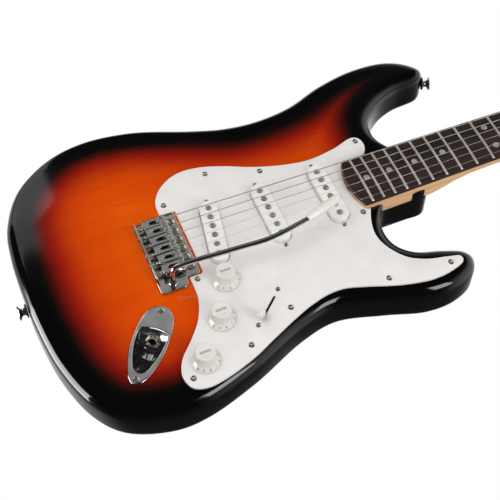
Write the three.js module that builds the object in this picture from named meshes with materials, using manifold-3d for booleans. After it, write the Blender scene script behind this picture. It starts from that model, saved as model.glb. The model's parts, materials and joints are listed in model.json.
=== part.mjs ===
// Double-cutaway solid-body electric guitar with a synchronised tremolo bridge, in millimetres.
// The guitar lies on its back. +X runs from the saddles to the headstock, with X = 0 at the scale line,
// +Y points to the bass side and +Z out of the playing face. Z = 0 is the outer face of the back covers.
import * as THREE from "three";
import { mergeVertices } from "three/addons/utils/BufferGeometryUtils.js";
import Module from "manifold-3d";

const wasm = await Module();
wasm.setup();

// ---------------------------------------------------------------- driving dimensions

const SCALE = 648; // scale line to nut
const FRETS = 21;
const STRING_RADII = [0.58, 0.46, 0.33, 0.22, 0.17, 0.13];
const NUT_PITCH = 7;
const BRIDGE_PITCH = 10.5;
const GAP = 0.35; // fitting gap round a seated piece

const COVER = 1.6; // back cover and neck plate
const BACK = COVER;
const BODY_DEPTH = 44.5;
const TOP = BACK + BODY_DEPTH;
const ROUND_OVER = 12;
const GUARD_DEPTH = 2.2;
const GUARD_TOP = TOP + GUARD_DEPTH;

const HEEL_DEPTH = 15.9; // how deep the neck sits in the body
const HEEL_BACK = TOP - HEEL_DEPTH;
const BLANK = 20.6; // maple under the fretboard
const NECK_TOP = HEEL_BACK + BLANK;
const BOARD_CROWN = NECK_TOP + 5.2;
const BOARD_RADIUS = 300;
const FRET_HEIGHT = 1;
const BUTT_X = 179;
const BUTT_RADIUS = 68;
const BUTT_HALF_WIDTH = 27.95;
const NUT_HALF_WIDTH = 21;
const HEADSTOCK_DEPTH = 14;
const HEADSTOCK_TOP = HEEL_BACK + HEADSTOCK_DEPTH;

const TUNER_PITCH = 25.4;
const TUNER_ANGLE = (-14.6 * Math.PI) / 180;
const FIRST_POST = [690, 20.1];
const POST_RADIUS = 3.1;
const WORM_OFFSET = 7.3;
const WORM_Z = 25.4;
const PEGHEAD_PLATE = 1.2;

const PIVOT_X = 7;
const PLATE_BASE = TOP + 1.3; // underside of the bridge plate
const PLATE_TOP = PLATE_BASE + 1.8;
const SADDLE_CREST = 60;
const ARM_POST = [-14, -38];
const ARM_RADIUS = 2.5;
const BLOCK = { x: [-19.5, -5.5], y: [-42.6, 31.5], z: [6, PLATE_BASE] };
const TREMOLO_WELL = { x: [-27, -2.2], y: [-44.6, 33.5] };
const SPRING_BAY = { x: [-27, 104], y: [-29, 29], depth: 16 };
const SPRING_ROWS = [-21, 0, 21];
const SPRING_Z = 10.6;

const PICKUPS = [
  { name: "bridge", x: 40.5, slant: (-10.3 * Math.PI) / 180 },
  { name: "middle", x: 98, slant: 0 },
  { name: "neck", x: 157.9, slant: 0 },
];
const COVER_LENGTH = 70;
const COVER_WIDTH = 18;
const COVER_TOP = GUARD_TOP + 5.8;
const POLE_TOP = GUARD_TOP + 6.8;

const KNOBS = [
  { name: "volume_knob", pot: "volume_pot", at: [31.1, -52.8] },
  { name: "tone_knob_1", pot: "tone_pot_1", at: [12.5, -90] },
  { name: "tone_knob_2", pot: "tone_pot_2", at: [-16, -124.3] },
];
const SWITCH_AT = [56, -94.4];
const SWITCH_ANGLE = Math.atan2(28.3, 30.9); // direction of the lever's slot
const SWITCH_PIVOT_Z = GUARD_TOP - 22;
const SWITCH_LEAN = (25 * Math.PI) / 180;

const JACK_AT = [-56, -89.2];
const JACK_ANGLE = Math.atan2(-57.1, -43.8); // from the upper screw to the lower one
const JACK_PLATE = 1.5;
const CUP_EDGE = -15.3; // the cup's straight top edge, along the plate's own axis
const CUP_SLOPE = (62 * Math.PI) / 180;

const HORN_BUTTON = { at: [319.4, 112.6], heading: (-22.6 * Math.PI) / 180 };
const BUTT_BUTTON = { at: [-144.4, 0], heading: Math.PI };
const STRAP_Z = 25.6;

// ---------------------------------------------------------------- outlines

const BODY_KNOTS = [
  [-144, 0], [-143.5, 50], [-137, 90], [-115, 131], [-76, 160.5], [-38, 169], [8, 161.5], [68, 135.5],
  [98, 124.3], [131, 120.3], [169, 124.5], [210, 139], [250, 146.5], [288, 143.5], [310.5, 131], [319.6, 116],
  [313.5, 107], [281, 102], [258, 92], [240, 74], [234.5, 51], [240, 34], [250, 26.5], [257, 19], [257, -19],
  [250, -27], [205, -27], [193.5, -42], [192.5, -60], [197, -74], [209, -85.5], [232, -93.5], [250, -102],
  [256, -112], [250, -125], [228, -134.5], [200, -134.8], [161, -123], [117, -112.2], [81, -119.3],
  [23, -143.5], [-28, -158.3], [-59, -159], [-99.5, -144.5], [-121, -120], [-137, -75], [-143.5, -23],
];

const GUARD_TREBLE_KNOTS = [
  [2, -37.3], [1, -61], [-7, -82], [-19, -98], [-35, -116], [-40, -131], [-35.5, -144], [-24, -148.5],
  [-7, -146.8], [25, -136.8], [49, -125.5], [72, -115], [92, -107], [112, -102], [128, -102], [145, -107],
  [179, -118.7], [208, -124], [230, -121.5], [242, -116.3], [242, -111], [230, -107], [211, -102],
  [195, -92.5], [183, -74], [180, -59], [183, -44], [189, -30],
];

const GUARD_BASS_KNOTS = [
  [206, 29], [213.5, 34.5], [217.5, 44], [215, 54], [208, 56.5], [189, 51], [160, 47], [137, 50], [107, 59],
  [78, 72], [56, 79.5], [35, 81], [20, 75.8], [8, 66], [1, 53], [0.3, 38.9],
];

const HEADSTOCK_KNOTS = [
  [650, 21.1], [666, 22.6], [677, 28], [687, 34.5], [697, 33.6], [760, 17.2], [816, 2.6], [829, -3],
  [837, -14], [836, -28], [825, -37.5], [806, -40.5], [775, -38.5], [740, -33.5], [700, -27], [670, -22.4],
  [650, -21.1],
];

// The front of the notch that the bridge sits in, from its treble corner to its bass one.
const GUARD_NOTCH = [[12.8, -37.3], [14.6, -36.6], [15.5, -34.8], [15.5, 38.9]];

// Half of the jack plate's outline: along its axis, and out from it.
const JACK_PLATE_KNOTS = [
  [-41.4, 0], [-41.1, 2], [-40.1, 4.9], [-37.4, 8.7], [-33, 12.3], [-26, 14.7], [-17, 16], [-5, 16.4],
  [6, 15.9], [15, 14.5], [24, 12.2], [31, 9.7], [36, 7], [39.6, 3.9], [40.9, 1.6], [41.1, 0],
];

const CONTROL_BAY = [
  [18, -42], [9, -58], [-1, -79], [-4, -86], [-14, -99], [-29, -116], [-31, -130], [-20, -140], [0, -140],
  [28, -125], [58, -119], [84, -88], [80, -72], [48, -42],
];

// ---------------------------------------------------------------- geometry helpers

// Evenly spaced points on a smooth curve through the knots.
function smooth(knots, count, closed) {
  const corners = knots.map(([x, y]) => new THREE.Vector3(x, y, 0));
  const curve = new THREE.CatmullRomCurve3(corners, closed, "centripetal");
  curve.arcLengthDivisions = 1500;
  const points = curve.getSpacedPoints(count).map((p) => [p.x, p.y]);
  return closed ? points.slice(0, -1) : points;
}

// A closed mesh as a solid with its faces pointing out.
function solid(geometry) {
  geometry.deleteAttribute("normal");
  geometry.deleteAttribute("uv");
  const merged = mergeVertices(geometry, 1e-4);
  const triVerts = new Uint32Array(merged.index.array);
  const vertProperties = merged.attributes.position.array;
  const make = () => new wasm.Manifold(new wasm.Mesh({ numProp: 3, vertProperties, triVerts }));
  const made = make();
  if (made.volume() > 0) return made;
  for (let i = 0; i < triVerts.length; i += 3) {
    [triVerts[i], triVerts[i + 1]] = [triVerts[i + 1], triVerts[i]];
  }
  return make();
}

const join = (first, ...rest) => rest.reduce((sum, piece) => sum.add(piece), first);
const cut = (first, ...rest) => rest.reduce((left, piece) => left.subtract(piece), first);

function prism(points, low, high) {
  const shape = new THREE.Shape(points.map(([x, y]) => new THREE.Vector2(x, y)));
  const geometry = new THREE.ExtrudeGeometry(shape, { depth: high - low, bevelEnabled: false });
  return solid(geometry.translate(0, 0, low));
}

function box([x0, x1], [y0, y1], [z0, z1]) {
  const geometry = new THREE.BoxGeometry(x1 - x0, y1 - y0, z1 - z0);
  return solid(geometry.translate((x0 + x1) / 2, (y0 + y1) / 2, (z0 + z1) / 2));
}

function drum([x, y], radius, low, high, sides = 12) {
  const geometry = new THREE.CylinderGeometry(radius, radius, high - low, sides).rotateX(Math.PI / 2);
  return solid(geometry.translate(x, y, (low + high) / 2));
}

function rod(from, to, radius, sides = 10) {
  const start = new THREE.Vector3(...from);
  const run = new THREE.Vector3(...to).sub(start);
  const geometry = new THREE.CylinderGeometry(radius, radius, run.length(), sides).rotateX(Math.PI / 2);
  const turn = new THREE.Quaternion().setFromUnitVectors(new THREE.Vector3(0, 0, 1), run.clone().normalize());
  return solid(geometry.applyQuaternion(turn).translate(...start.addScaledVector(run, 0.5).toArray()));
}

// A turned piece about a vertical axis, from a profile of [radius, z] pairs.
function turned([x, y], profile, sides = 24) {
  const points = profile.map(([radius, z]) => new THREE.Vector2(radius, z));
  return solid(new THREE.LatheGeometry(points, sides).rotateX(Math.PI / 2).translate(x, y, 0));
}

// A skin over rings of equal count, closed at both ends. `flat` drops the coordinate along the loft;
// without it each end is closed by a plain fan.
function loft(rings, flat = ([x, y]) => [x, y]) {
  const count = rings[0].length;
  const faces = [];
  for (let r = 0; r + 1 < rings.length; r += 1)
    for (let i = 0; i < count; i += 1) {
      const j = (i + 1) % count;
      const [a, b, c, d] = [r * count + i, r * count + j, (r + 1) * count + j, (r + 1) * count + i];
      faces.push(a, b, c, a, c, d);
    }
  if (!flat) {
    const last = (rings.length - 1) * count;
    for (let i = 1; i + 1 < count; i += 1) faces.push(0, i + 1, i, last, last + i, last + i + 1);
  }
  for (const [ring, side] of flat ? [[0, -1], [rings.length - 1, 1]] : []) {
    const loop = rings[ring].map((p) => new THREE.Vector2(...flat(p)));
    const facing = side * Math.sign(THREE.ShapeUtils.area(loop));
    for (const [a, b, c] of THREE.ShapeUtils.triangulateShape(loop, [])) {
      const same = Math.sign(THREE.ShapeUtils.area([loop[a], loop[b], loop[c]])) === facing;
      const corners = same ? [a, b, c] : [a, c, b];
      faces.push(...corners.map((k) => ring * count + k));
    }
  }
  const geometry = new THREE.BufferGeometry();
  geometry.setAttribute("position", new THREE.Float32BufferAttribute(rings.flat(2), 3));
  geometry.setIndex(faces);
  return solid(geometry);
}

const across = ([, y, z]) => [y, z];

// A round bar along a bent path that stays near a vertical plane.
function wire(path, radius, sides = 6) {
  const points = path.map((p) => new THREE.Vector3(...p));
  const rings = points.map((point, k) => {
    const next = points[Math.min(k + 1, points.length - 1)];
    const ahead = next.clone().sub(points[Math.max(k - 1, 0)]).normalize();
    const side = new THREE.Vector3(0, 1, 0).addScaledVector(ahead, -ahead.y).normalize();
    const up = side.clone().cross(ahead);
    return Array.from({ length: sides }, (_, n) => {
      const angle = (2 * Math.PI * n) / sides;
      const out = side.clone().multiplyScalar(Math.cos(angle)).addScaledVector(up, Math.sin(angle));
      return point.clone().addScaledVector(out, radius).toArray();
    });
  });
  return loft(rings, null);
}

// A rectangle with fully rounded ends, turned about its centre.
function stadium([x, y], length, width, angle, segments = 8) {
  const points = [];
  for (const end of [1, -1])
    for (let k = 0; k <= segments; k += 1) {
      const bend = -Math.PI / 2 + (Math.PI * k) / segments;
      const along = end * ((length - width) / 2 + (width / 2) * Math.cos(bend));
      const out = end * (width / 2) * Math.sin(bend);
      points.push([
        x + along * Math.cos(angle) - out * Math.sin(angle),
        y + along * Math.sin(angle) + out * Math.cos(angle),
      ]);
    }
  return points;
}

function roundedBox([x0, x1], [y0, y1], [z0, z1], radius, segments = 3) {
  const points = [];
  const corners = [[x1, y1, 0], [x0, y1, 1], [x0, y0, 2], [x1, y0, 3]];
  for (const [x, y, quarter] of corners) {
    const cx = x - radius * Math.sign(x - (x0 + x1) / 2);
    const cy = y - radius * Math.sign(y - (y0 + y1) / 2);
    for (let k = 0; k <= segments; k += 1) {
      const angle = (Math.PI / 2) * (quarter + k / segments);
      points.push([cx + radius * Math.cos(angle), cy + radius * Math.sin(angle)]);
    }
  }
  return prism(points, z0, z1);
}

const turn = (piece, angle, [x, y]) =>
  piece.rotate([0, 0, (angle * 180) / Math.PI]).translate([x, y, 0]);

// ---------------------------------------------------------------- where strings and frets lie

const stringNutY = (i) => NUT_PITCH * (2.5 - i);
const stringBridgeY = (i) => BRIDGE_PITCH * (2.5 - i);
const fretX = (n) => SCALE / 2 ** (n / 12);
const boardTop = (y) => BOARD_CROWN - y ** 2 / (2 * BOARD_RADIUS);
const saddleCrest = (y) => SADDLE_CREST - y ** 2 / (2 * BOARD_RADIUS);
const neckHalfWidth = (x) =>
  NUT_HALF_WIDTH + ((BUTT_HALF_WIDTH - NUT_HALF_WIDTH) * (SCALE - x)) / (SCALE - BUTT_X);
const postAt = (i) => [
  FIRST_POST[0] + i * TUNER_PITCH * Math.cos(TUNER_ANGLE),
  FIRST_POST[1] + i * TUNER_PITCH * Math.sin(TUNER_ANGLE),
];

// The neck's outline from its arched butt to `end`, grown by `grow` all round.
function neckPlan(end, grow) {
  const points = [];
  const steps = 10;
  for (let k = 0; k <= steps; k += 1) {
    const y = (BUTT_HALF_WIDTH + grow) * (1 - (2 * k) / steps);
    points.push([BUTT_X + BUTT_RADIUS - Math.sqrt(BUTT_RADIUS ** 2 - y ** 2) - grow, y]);
  }
  points.push([end, -neckHalfWidth(end) - grow], [end, neckHalfWidth(end) + grow]);
  return points;
}

// ---------------------------------------------------------------- body

// The round-over is full on the free edges and small along the tongue under the neck.
function roundOverAt([x, y]) {
  const small = 3;
  if (x < 180) return ROUND_OVER;
  return small + (ROUND_OVER - small) * THREE.MathUtils.smoothstep(Math.abs(y), 34, 64);
}

// The radius of the outline's bend at point i, infinite where the outline is straight or hollow.
function bendRadius(points, i, reach) {
  const count = points.length;
  const [a, b, c] = [-reach, 0, reach].map((k) => new THREE.Vector2(...points[(i + k + count) % count]));
  const [ab, bc, ac] = [b.clone().sub(a), c.clone().sub(b), c.clone().sub(a)];
  const cross = ab.cross(bc);
  return cross <= 0 ? Infinity : (ab.length() * bc.length() * ac.length()) / (2 * cross);
}

function bodyBlank() {
  const points = smooth(BODY_KNOTS, 116, true).reverse(); // counter-clockwise
  const count = points.length;
  const limits = points.map((p, i) => Math.min(roundOverAt(p), 0.7 * bendRadius(points, i, 3)));
  const radii = limits.map((_, i) => (limits.at(i - 1) + 2 * limits[i] + limits[(i + 1) % count]) / 4);
  const inward = points.map((_, i) => {
    const [before, after] = [points.at(i - 1), points[(i + 1) % count]];
    return new THREE.Vector2(before[1] - after[1], after[0] - before[0]).normalize();
  });
  const ring = (angle, face, side) =>
    points.map(([x, y], i) => {
      const inset = radii[i] * (1 - Math.cos(angle));
      const rise = roundOverAt([x, y]) * (1 - Math.sin(angle));
      return [x + inset * inward[i].x, y + inset * inward[i].y, face - side * rise];
    });
  const quarter = Math.PI / 2;
  const angles = [0, quarter / 3, (2 * quarter) / 3, quarter];
  const rings = [
    ...angles.map((a) => ring(a, BACK, -1)).reverse(),
    ...angles.map((a) => ring(a, TOP, 1)),
  ];
  return loft(rings);
}

// The forearm bevel: a flat slope across the bass side of the lower bout.
function forearmCut() {
  const [hinge, heading, slope] = [[-120, 85], 9.6, 10.7];
  return box([-160, 320], [0, 140], [0, 60]).rotate([-slope, 0, heading]).translate([...hinge, TOP]);
}

// The belly cut: a shallow dish in the back at the bass-side waist.
function bellyCut() {
  return solid(new THREE.SphereGeometry(150, 48, 28).translate(120, 150, -130.6));
}

function body() {
  const open = TOP + 5;
  const pickupBays = PICKUPS.map(({ x, slant }) =>
    turn(roundedBox([-12.5, 12.5], [-45, 45], [TOP - 17, open], 6), slant, [x, 0]),
  );
  const wireRun = turn(box([-50, 50], [-6, 6], [TOP - 14, open]), Math.atan2(40, 83), [116, -58]);
  const jackBay = turn(prism(jackPlateOutline(0.88), TOP - 35, open), JACK_ANGLE, JACK_AT);
  const jackWire = rod([-45, -92, TOP - 28], [-20, -118, TOP - 28], 3);
  const springTop = BACK + SPRING_BAY.depth;
  return cut(
    bodyBlank(),
    forearmCut(),
    bellyCut(),
    prism(neckPlan(270, GAP), HEEL_BACK, open),
    ...pickupBays,
    wireRun,
    prism(CONTROL_BAY, TOP - 38, open),
    jackBay,
    jackWire,
    roundedBox(TREMOLO_WELL.x, TREMOLO_WELL.y, [0, open], 4),
    roundedBox(SPRING_BAY.x, SPRING_BAY.y, [0, springTop], 6),
  );
}

function backCover() {
  const plate = roundedBox([-40, 112], [-48, 48], [0, COVER], 8, 4);
  return cut(plate, roundedBox([-19, -6], [-31, 31], [-1, COVER + 1], 4));
}

const neckPlate = () => roundedBox([186, 250], [-25.5, 25.5], [0, COVER], 4);

// ---------------------------------------------------------------- guard

function guardOutline() {
  const neckEnd = neckPlan(205.5, 0.5).slice(0, -2).reverse();
  return [
    ...smooth(GUARD_TREBLE_KNOTS, 84, false),
    ...neckEnd,
    ...smooth(GUARD_BASS_KNOTS, 48, false),
    ...GUARD_NOTCH.toReversed(),
  ];
}

function pickguard() {
  const through = [TOP - 1, GUARD_TOP + 1];
  const slots = PICKUPS.map(({ x, slant }) =>
    prism(stadium([x, 0], COVER_LENGTH + 0.9, COVER_WIDTH + 0.9, Math.PI / 2 + slant), ...through),
  );
  const potHoles = KNOBS.map(({ at }) => drum(at, 5, ...through));
  const leverSlot = prism(stadium(SWITCH_AT, 27, 2.2, SWITCH_ANGLE, 4), ...through);
  return cut(prism(guardOutline(), TOP, GUARD_TOP), ...slots, ...potHoles, leverSlot);
}

// ---------------------------------------------------------------- neck

// One section of the neck: flat on top, and rounded below as a superellipse of the given power.
function neckSection([x, top, back, power]) {
  const half = neckHalfWidth(Math.min(x, SCALE + 4));
  const steps = 12;
  return Array.from({ length: steps + 1 }, (_, k) => {
    const angle = (Math.PI * k) / steps;
    const bend = (value) => Math.sign(value) * Math.abs(value) ** (2 / power);
    return [x, half * bend(Math.cos(angle)), top - (top - back) * bend(Math.sin(angle))];
  });
}

function neck() {
  const stations = [
    [170, NECK_TOP, HEEL_BACK, 14], [256, NECK_TOP, HEEL_BACK, 14], [268, NECK_TOP, HEEL_BACK + 0.4, 7],
    [282, NECK_TOP, HEEL_BACK + 1.3, 3.6], [300, NECK_TOP, HEEL_BACK + 2.2, 2.5],
    [460, NECK_TOP, HEEL_BACK + 3.3, 2.3], [610, NECK_TOP, HEEL_BACK + 4.4, 2.3],
    [636, NECK_TOP, HEEL_BACK + 4, 2.5], [650, NECK_TOP, HEEL_BACK + 2.2, 3.4],
    [656, NECK_TOP - 1, HEEL_BACK + 1, 5], [663, HEADSTOCK_TOP + 2.6, HEEL_BACK + 0.3, 8],
    [671, HEADSTOCK_TOP + 0.5, HEEL_BACK, 14], [676, HEADSTOCK_TOP, HEEL_BACK, 14],
  ];
  const shaft = loft(stations.map(neckSection), across).intersect(prism(neckPlan(700, 0), 0, 80));
  const headstock = prism(smooth(HEADSTOCK_KNOTS, 60, true), HEEL_BACK, HEADSTOCK_TOP);
  const postHoles = STRING_RADII.map((_, i) => drum(postAt(i), POST_RADIUS + 0.6, 20, 60, 12));
  const rodChannel = box([170, 632], [-3, 3], [HEEL_BACK + 12.3, 80]);
  return cut(join(shaft, headstock), ...postHoles, rodChannel);
}

// A crowned strip over the neck's width, from `low` to `lift` above the fretboard's surface.
function crowned(from, to, low, lift, inset) {
  const steps = 4;
  const section = (x) => {
    const half = neckHalfWidth(Math.min(x, SCALE)) - inset;
    const crown = Array.from({ length: steps + 1 }, (_, k) => {
      const y = half * (1 - (2 * k) / steps);
      return [x, y, boardTop(y) + lift];
    });
    return [...crown, [x, -half, low], [x, half, low]];
  };
  return loft([section(from), section(to)], across);
}

const NUT = { x: [SCALE, SCALE + 3.3], seat: NECK_TOP + 1.8, lift: 2.4, slot: 1.3 };

function fretboard() {
  const board = crowned(170, 654.5, NECK_TOP, 0, 0).intersect(prism(neckPlan(660, 0), 0, 80));
  const frets = Array.from({ length: FRETS }, (_, k) => {
    const x = fretX(k + 1);
    return crowned(x - 1.2, x + 1.2, NECK_TOP + 2, FRET_HEIGHT, 0.4);
  });
  const nutSlot = box([NUT.x[0] - 0.05, NUT.x[1] + 0.05], [-40, 40], [NUT.seat, 80]);
  return cut(join(board, ...frets), nutSlot);
}

function nut() {
  const blank = crowned(...NUT.x, NUT.seat, NUT.lift, 0.1);
  const slots = STRING_RADII.map((radius, i) => {
    const y = stringNutY(i);
    const half = radius + 0.4;
    return box([SCALE - 2, SCALE + 6], [y - half, y + half], [boardTop(y) + NUT.slot, 80]);
  });
  return cut(blank, ...slots);
}

function trussRod() {
  const z = HEEL_BACK + 16;
  return join(rod([186, 0, z], [628, 0, z], 2.3, 8), rod([181, 0, z], [188, 0, z], 2.9, 10));
}

// ---------------------------------------------------------------- pickups and controls

function pickupCover({ x, slant }) {
  const outer = prism(stadium([0, 0], COVER_LENGTH, COVER_WIDTH, Math.PI / 2), GUARD_TOP - 9, COVER_TOP);
  const inner = prism(stadium([0, 0], COVER_LENGTH - 3, COVER_WIDTH - 3, Math.PI / 2, 5), 0, COVER_TOP - 1.3);
  const holes = STRING_RADII.map((_, i) => drum([0, stringBridgeY(i)], 3.1, 0, 80, 6));
  return turn(cut(outer, inner, ...holes), slant, [x, 0]);
}

function pickupCoil({ x, slant }) {
  const base = GUARD_TOP - 15.5;
  const flange = prism(stadium([0, 0], 86, 20, Math.PI / 2, 5), base, base + 1.6);
  const coil = prism(stadium([0, 0], 63, 13, Math.PI / 2, 5), base, COVER_TOP - 2);
  const poles = STRING_RADII.map((_, i) => drum([0, stringBridgeY(i)], 2.4, base, POLE_TOP, 6));
  const screwHoles = [38.1, -38.1].map((y) => drum([0, y], 1.5, 0, 80, 8));
  return turn(cut(join(flange, coil, ...poles), ...screwHoles), slant, [x, 0]);
}

function pot({ at }) {
  const [caseBase, caseTop, bushingTop] = [GUARD_TOP - 11.7, TOP - 0.4, GUARD_TOP + 3.2];
  const profile = [
    [0, caseBase], [12, caseBase], [12, caseTop], [4.6, caseTop], [4.6, bushingTop], [3.4, bushingTop],
    [3.4, caseBase + 1.4], [0, caseBase + 1.4],
  ];
  return turned(at, profile, 12);
}

// The knob carries its shaft, which turns inside the pot's bushing.
function knob({ at }) {
  const skirt = GUARD_TOP + 0.6;
  const profile = [
    [0, skirt - 10], [2.9, skirt - 10], [2.9, skirt + 4], [9.4, skirt + 4], [11.6, skirt], [13, skirt],
    [13, skirt + 1.2], [10.6, skirt + 4.4], [9.6, skirt + 6], [8.8, skirt + 15], [8.2, skirt + 15.9],
    [0, skirt + 16.2],
  ];
  return turned(at, profile, 16);
}

function switchBody() {
  const [top, half] = [TOP - 0.3, 22];
  const frame = box([-half, half], [-7, 7], [SWITCH_PIVOT_Z - 9, top]);
  const swing = box([-18, 18], [-2.2, 2.2], [SWITCH_PIVOT_Z - 5, top + 5]);
  return turn(cut(frame, swing), SWITCH_ANGLE, SWITCH_AT);
}

// A piece of the lever, drawn upright on its pivot, then leaned back to the last position.
function onLever(piece) {
  const leaned = piece.rotate([0, (-SWITCH_LEAN * 180) / Math.PI, 0]).translate([0, 0, SWITCH_PIVOT_Z]);
  return turn(leaned, SWITCH_ANGLE, SWITCH_AT);
}

const LEVER_TOP = 36;

const switchLever = () => onLever(box([-2.6, 2.6], [-0.6, 0.6], [-3, LEVER_TOP]));

function switchTip() {
  const [base, height] = [LEVER_TOP + 0.3, 13];
  const rings = [[4.2, 2.7, 0], [4.8, 3.2, 5], [4.6, 3, 11], [3.2, 2, height]].map(([long, short, z]) =>
    Array.from({ length: 12 }, (_, k) => {
      const angle = (Math.PI * k) / 6;
      return [long * Math.cos(angle), short * Math.sin(angle), base - 6 + z];
    }),
  );
  const socket = box([-2.9, 2.9], [-0.9, 0.9], [0, base]);
  return onLever(cut(loft(rings), socket));
}

// ---------------------------------------------------------------- jack

function jackPlateOutline(scale) {
  const half = smooth(JACK_PLATE_KNOTS, 20, false).map(([along, out]) => [along * scale, out * scale]);
  const back = half.slice(1, -1).map(([along, out]) => [along, -out]).reverse();
  return [...half, ...back];
}

// A wedge across the plate, from a side profile of [along, z] pairs.
function wedge(profile, halfWidth) {
  const side = (out) => profile.map(([along, z]) => [along, out, z]);
  return loft([side(-halfWidth), side(halfWidth)], ([x, , z]) => [x, z]);
}

// Half of the cup's mouth: along the plate's axis, and out from it, narrowing to a round end.
const CUP_MOUTH = [[CUP_EDGE, 10.6], [-6, 12], [3, 12], [12, 10.4], [20, 7.6], [25, 4.4], [27.5, 0]];

function cupOutline(grow) {
  const half = CUP_MOUTH.map(([along, out], k) =>
    [along + (k === 0 ? -grow : (grow * along) / 27.5), out ? out + grow : 0]);
  return [...half, ...half.slice(0, -1).map(([along, out]) => [along, -out]).reverse()];
}

const cupWall = (depth) => CUP_EDGE + depth / Math.tan(CUP_SLOPE);

function jackPlate() {
  const top = TOP + JACK_PLATE;
  const deep = 20;
  const outer = [
    [CUP_EDGE - 1.6, top - 0.2], [cupWall(deep) - 1.6, top - deep - 1.4],
    [cupWall(deep) + 5, top - deep - 1.4], [30, top - 0.2],
  ];
  const inner = [
    [CUP_EDGE, top + 1], [CUP_EDGE, top], [cupWall(deep), top - deep], [cupWall(deep) + 4, top - deep],
    [28, top], [28, top + 1],
  ];
  const plate = prism(jackPlateOutline(1), TOP, top);
  const scoop = (profile, grow) => wedge(profile, 20).intersect(prism(cupOutline(grow), 0, 80));
  const cup = join(plate, scoop(outer, 1.2));
  const [middle, axis] = jackAxis();
  const hole = rod(middle.map((v, k) => v - 12 * axis[k]), middle.map((v, k) => v + 4 * axis[k]), 5.2, 12);
  return turn(cut(cup, scoop(inner, 0), hole), JACK_ANGLE, JACK_AT);
}

// The jack's middle on the cup's steep wall, and its axis towards the plug, in the plate's own frame.
function jackAxis() {
  const depth = 10;
  return [
    [cupWall(depth), 0, TOP + JACK_PLATE - depth],
    [Math.sin(CUP_SLOPE), 0, Math.cos(CUP_SLOPE)],
  ];
}

function outputJack() {
  const [middle, axis] = jackAxis();
  const along = (distance) => middle.map((v, k) => v + distance * axis[k]);
  const collar = rod(along(0.3), along(2.6), 6.8, 16);
  const bushing = rod(along(-9), along(1), 4.7, 10);
  const frame = rod(along(-19), along(-3.4), 6.4, 10);
  const bore = rod(along(-16), along(5), 3.2, 10);
  return turn(cut(join(collar, bushing, frame), bore), JACK_ANGLE, JACK_AT);
}

function strapButton({ at, heading }) {
  const profile = [
    [0, 0], [6.4, 0], [6.4, 1.4], [3.4, 1.6], [3.2, 4.4], [4.4, 6.2],
    [6.9, 7.4], [7.1, 8.4], [6, 9], [0, 9],
  ];
  const upright = turned([0, 0], profile, 12);
  return turn(upright.rotate([0, 90, 0]).translate([0, 0, STRAP_Z]), heading, at);
}

// ---------------------------------------------------------------- bridge

function bridgePlate() {
  const rear = roundedBox([-28, 6], [-34, 35.8], [PLATE_BASE, PLATE_TOP], 2);
  const front = roundedBox([-1, 13.2], [-36.4, 37.8], [PLATE_BASE, PLATE_TOP], 2);
  const armWing = roundedBox([-28, -0.6], [-46, -30], [PLATE_BASE, PLATE_TOP], 4.5);
  const lip = box([-28, -26.2], [-33, 35], [PLATE_BASE, PLATE_TOP + 7.2]);
  const stringHoles = STRING_RADII.map((_, i) => drum([-12.5, stringBridgeY(i)], 2.4, 0, 80, 8));
  const pivotHoles = STRING_RADII.map((_, i) => drum([PIVOT_X, stringBridgeY(i)], 2.4, 0, 80, 8));
  const armHole = drum(ARM_POST, ARM_RADIUS + 0.6, 0, 80);
  const screwHoles = STRING_RADII.map((_, i) => {
    const y = stringBridgeY(i);
    return rod([-40, y, PLATE_TOP + 4], [-24, y, PLATE_TOP + 4], 1.6, 6);
  });
  const undercut = box([0, 20], [-40, 40], [-4, 0]).rotate([0, -8, 0]);
  const knifeEdge = undercut.translate([PIVOT_X + 1.6, 0, PLATE_BASE]);
  const plate = join(rear, front, armWing, lip);
  return cut(plate, ...stringHoles, ...pivotHoles, armHole, ...screwHoles, knifeEdge);
}

function tremoloBlock() {
  const stringHoles = STRING_RADII.map((_, i) => drum([-12.5, stringBridgeY(i)], 2, 0, 80, 6));
  const armHole = drum(ARM_POST, ARM_RADIUS + 0.6, BLOCK.z[0] + 10, 80);
  return cut(box(BLOCK.x, BLOCK.y, BLOCK.z), ...stringHoles, armHole);
}

function saddle(i) {
  const y = stringBridgeY(i);
  const [half, crest, base] = [5.05, saddleCrest(y), saddleCrest(y) - 8];
  const block = roundedBox([-20, 2], [y - half, y + half], [base, crest], 0.8, 1);
  const slot = box([-14.4, -4.6], [y - 1.4, y + 1.4], [base - 1, crest + 1]);
  const foot = (side) => drum([-0.6, y + 3.4 * side], 1.4, PLATE_TOP + 0.2, base + 2, 6);
  const screwBore = rod([-30, y, PLATE_TOP + 4], [-12, y, PLATE_TOP + 4], 1.5, 6);
  return cut(join(block, foot(1), foot(-1)), slot, screwBore);
}

// The arm rises out of the block, bends forward and sweeps beside the strings towards its tip.
const ARM_PATH = [
  [...ARM_POST, 20], [...ARM_POST, 58], [-14, -38, 66], [-12.3, -38, 70.6], [-8, -38.1, 73], [3.5, -38.5, 74],
  [28, -40.6, 75.2], [53, -43, 76.8], [74, -44.8, 78], [93, -43.5, 79.2], [116, -40, 80.6],
];
const ARM_TIP = [[117, -39.7, 80.7], [154.5, -28.9, 82.4]];

const tremoloArm = () => wire(ARM_PATH, ARM_RADIUS, 10);

function armTip() {
  const [start, end] = ARM_TIP.map((p) => new THREE.Vector3(...p));
  const run = end.clone().sub(start);
  const profile = [[0, 0], [3.4, 0], [4.2, 6], [4.6, 22], [4.4, 33], [3, 38], [0, run.length()]];
  const geometry = new THREE.LatheGeometry(profile.map(([r, h]) => new THREE.Vector2(r, h)), 14);
  const upright = new THREE.Vector3(0, 1, 0);
  const turnTo = new THREE.Quaternion().setFromUnitVectors(upright, run.clone().normalize());
  return solid(geometry.applyQuaternion(turnTo).translate(start.x + 0.4, start.y, start.z));
}

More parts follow.
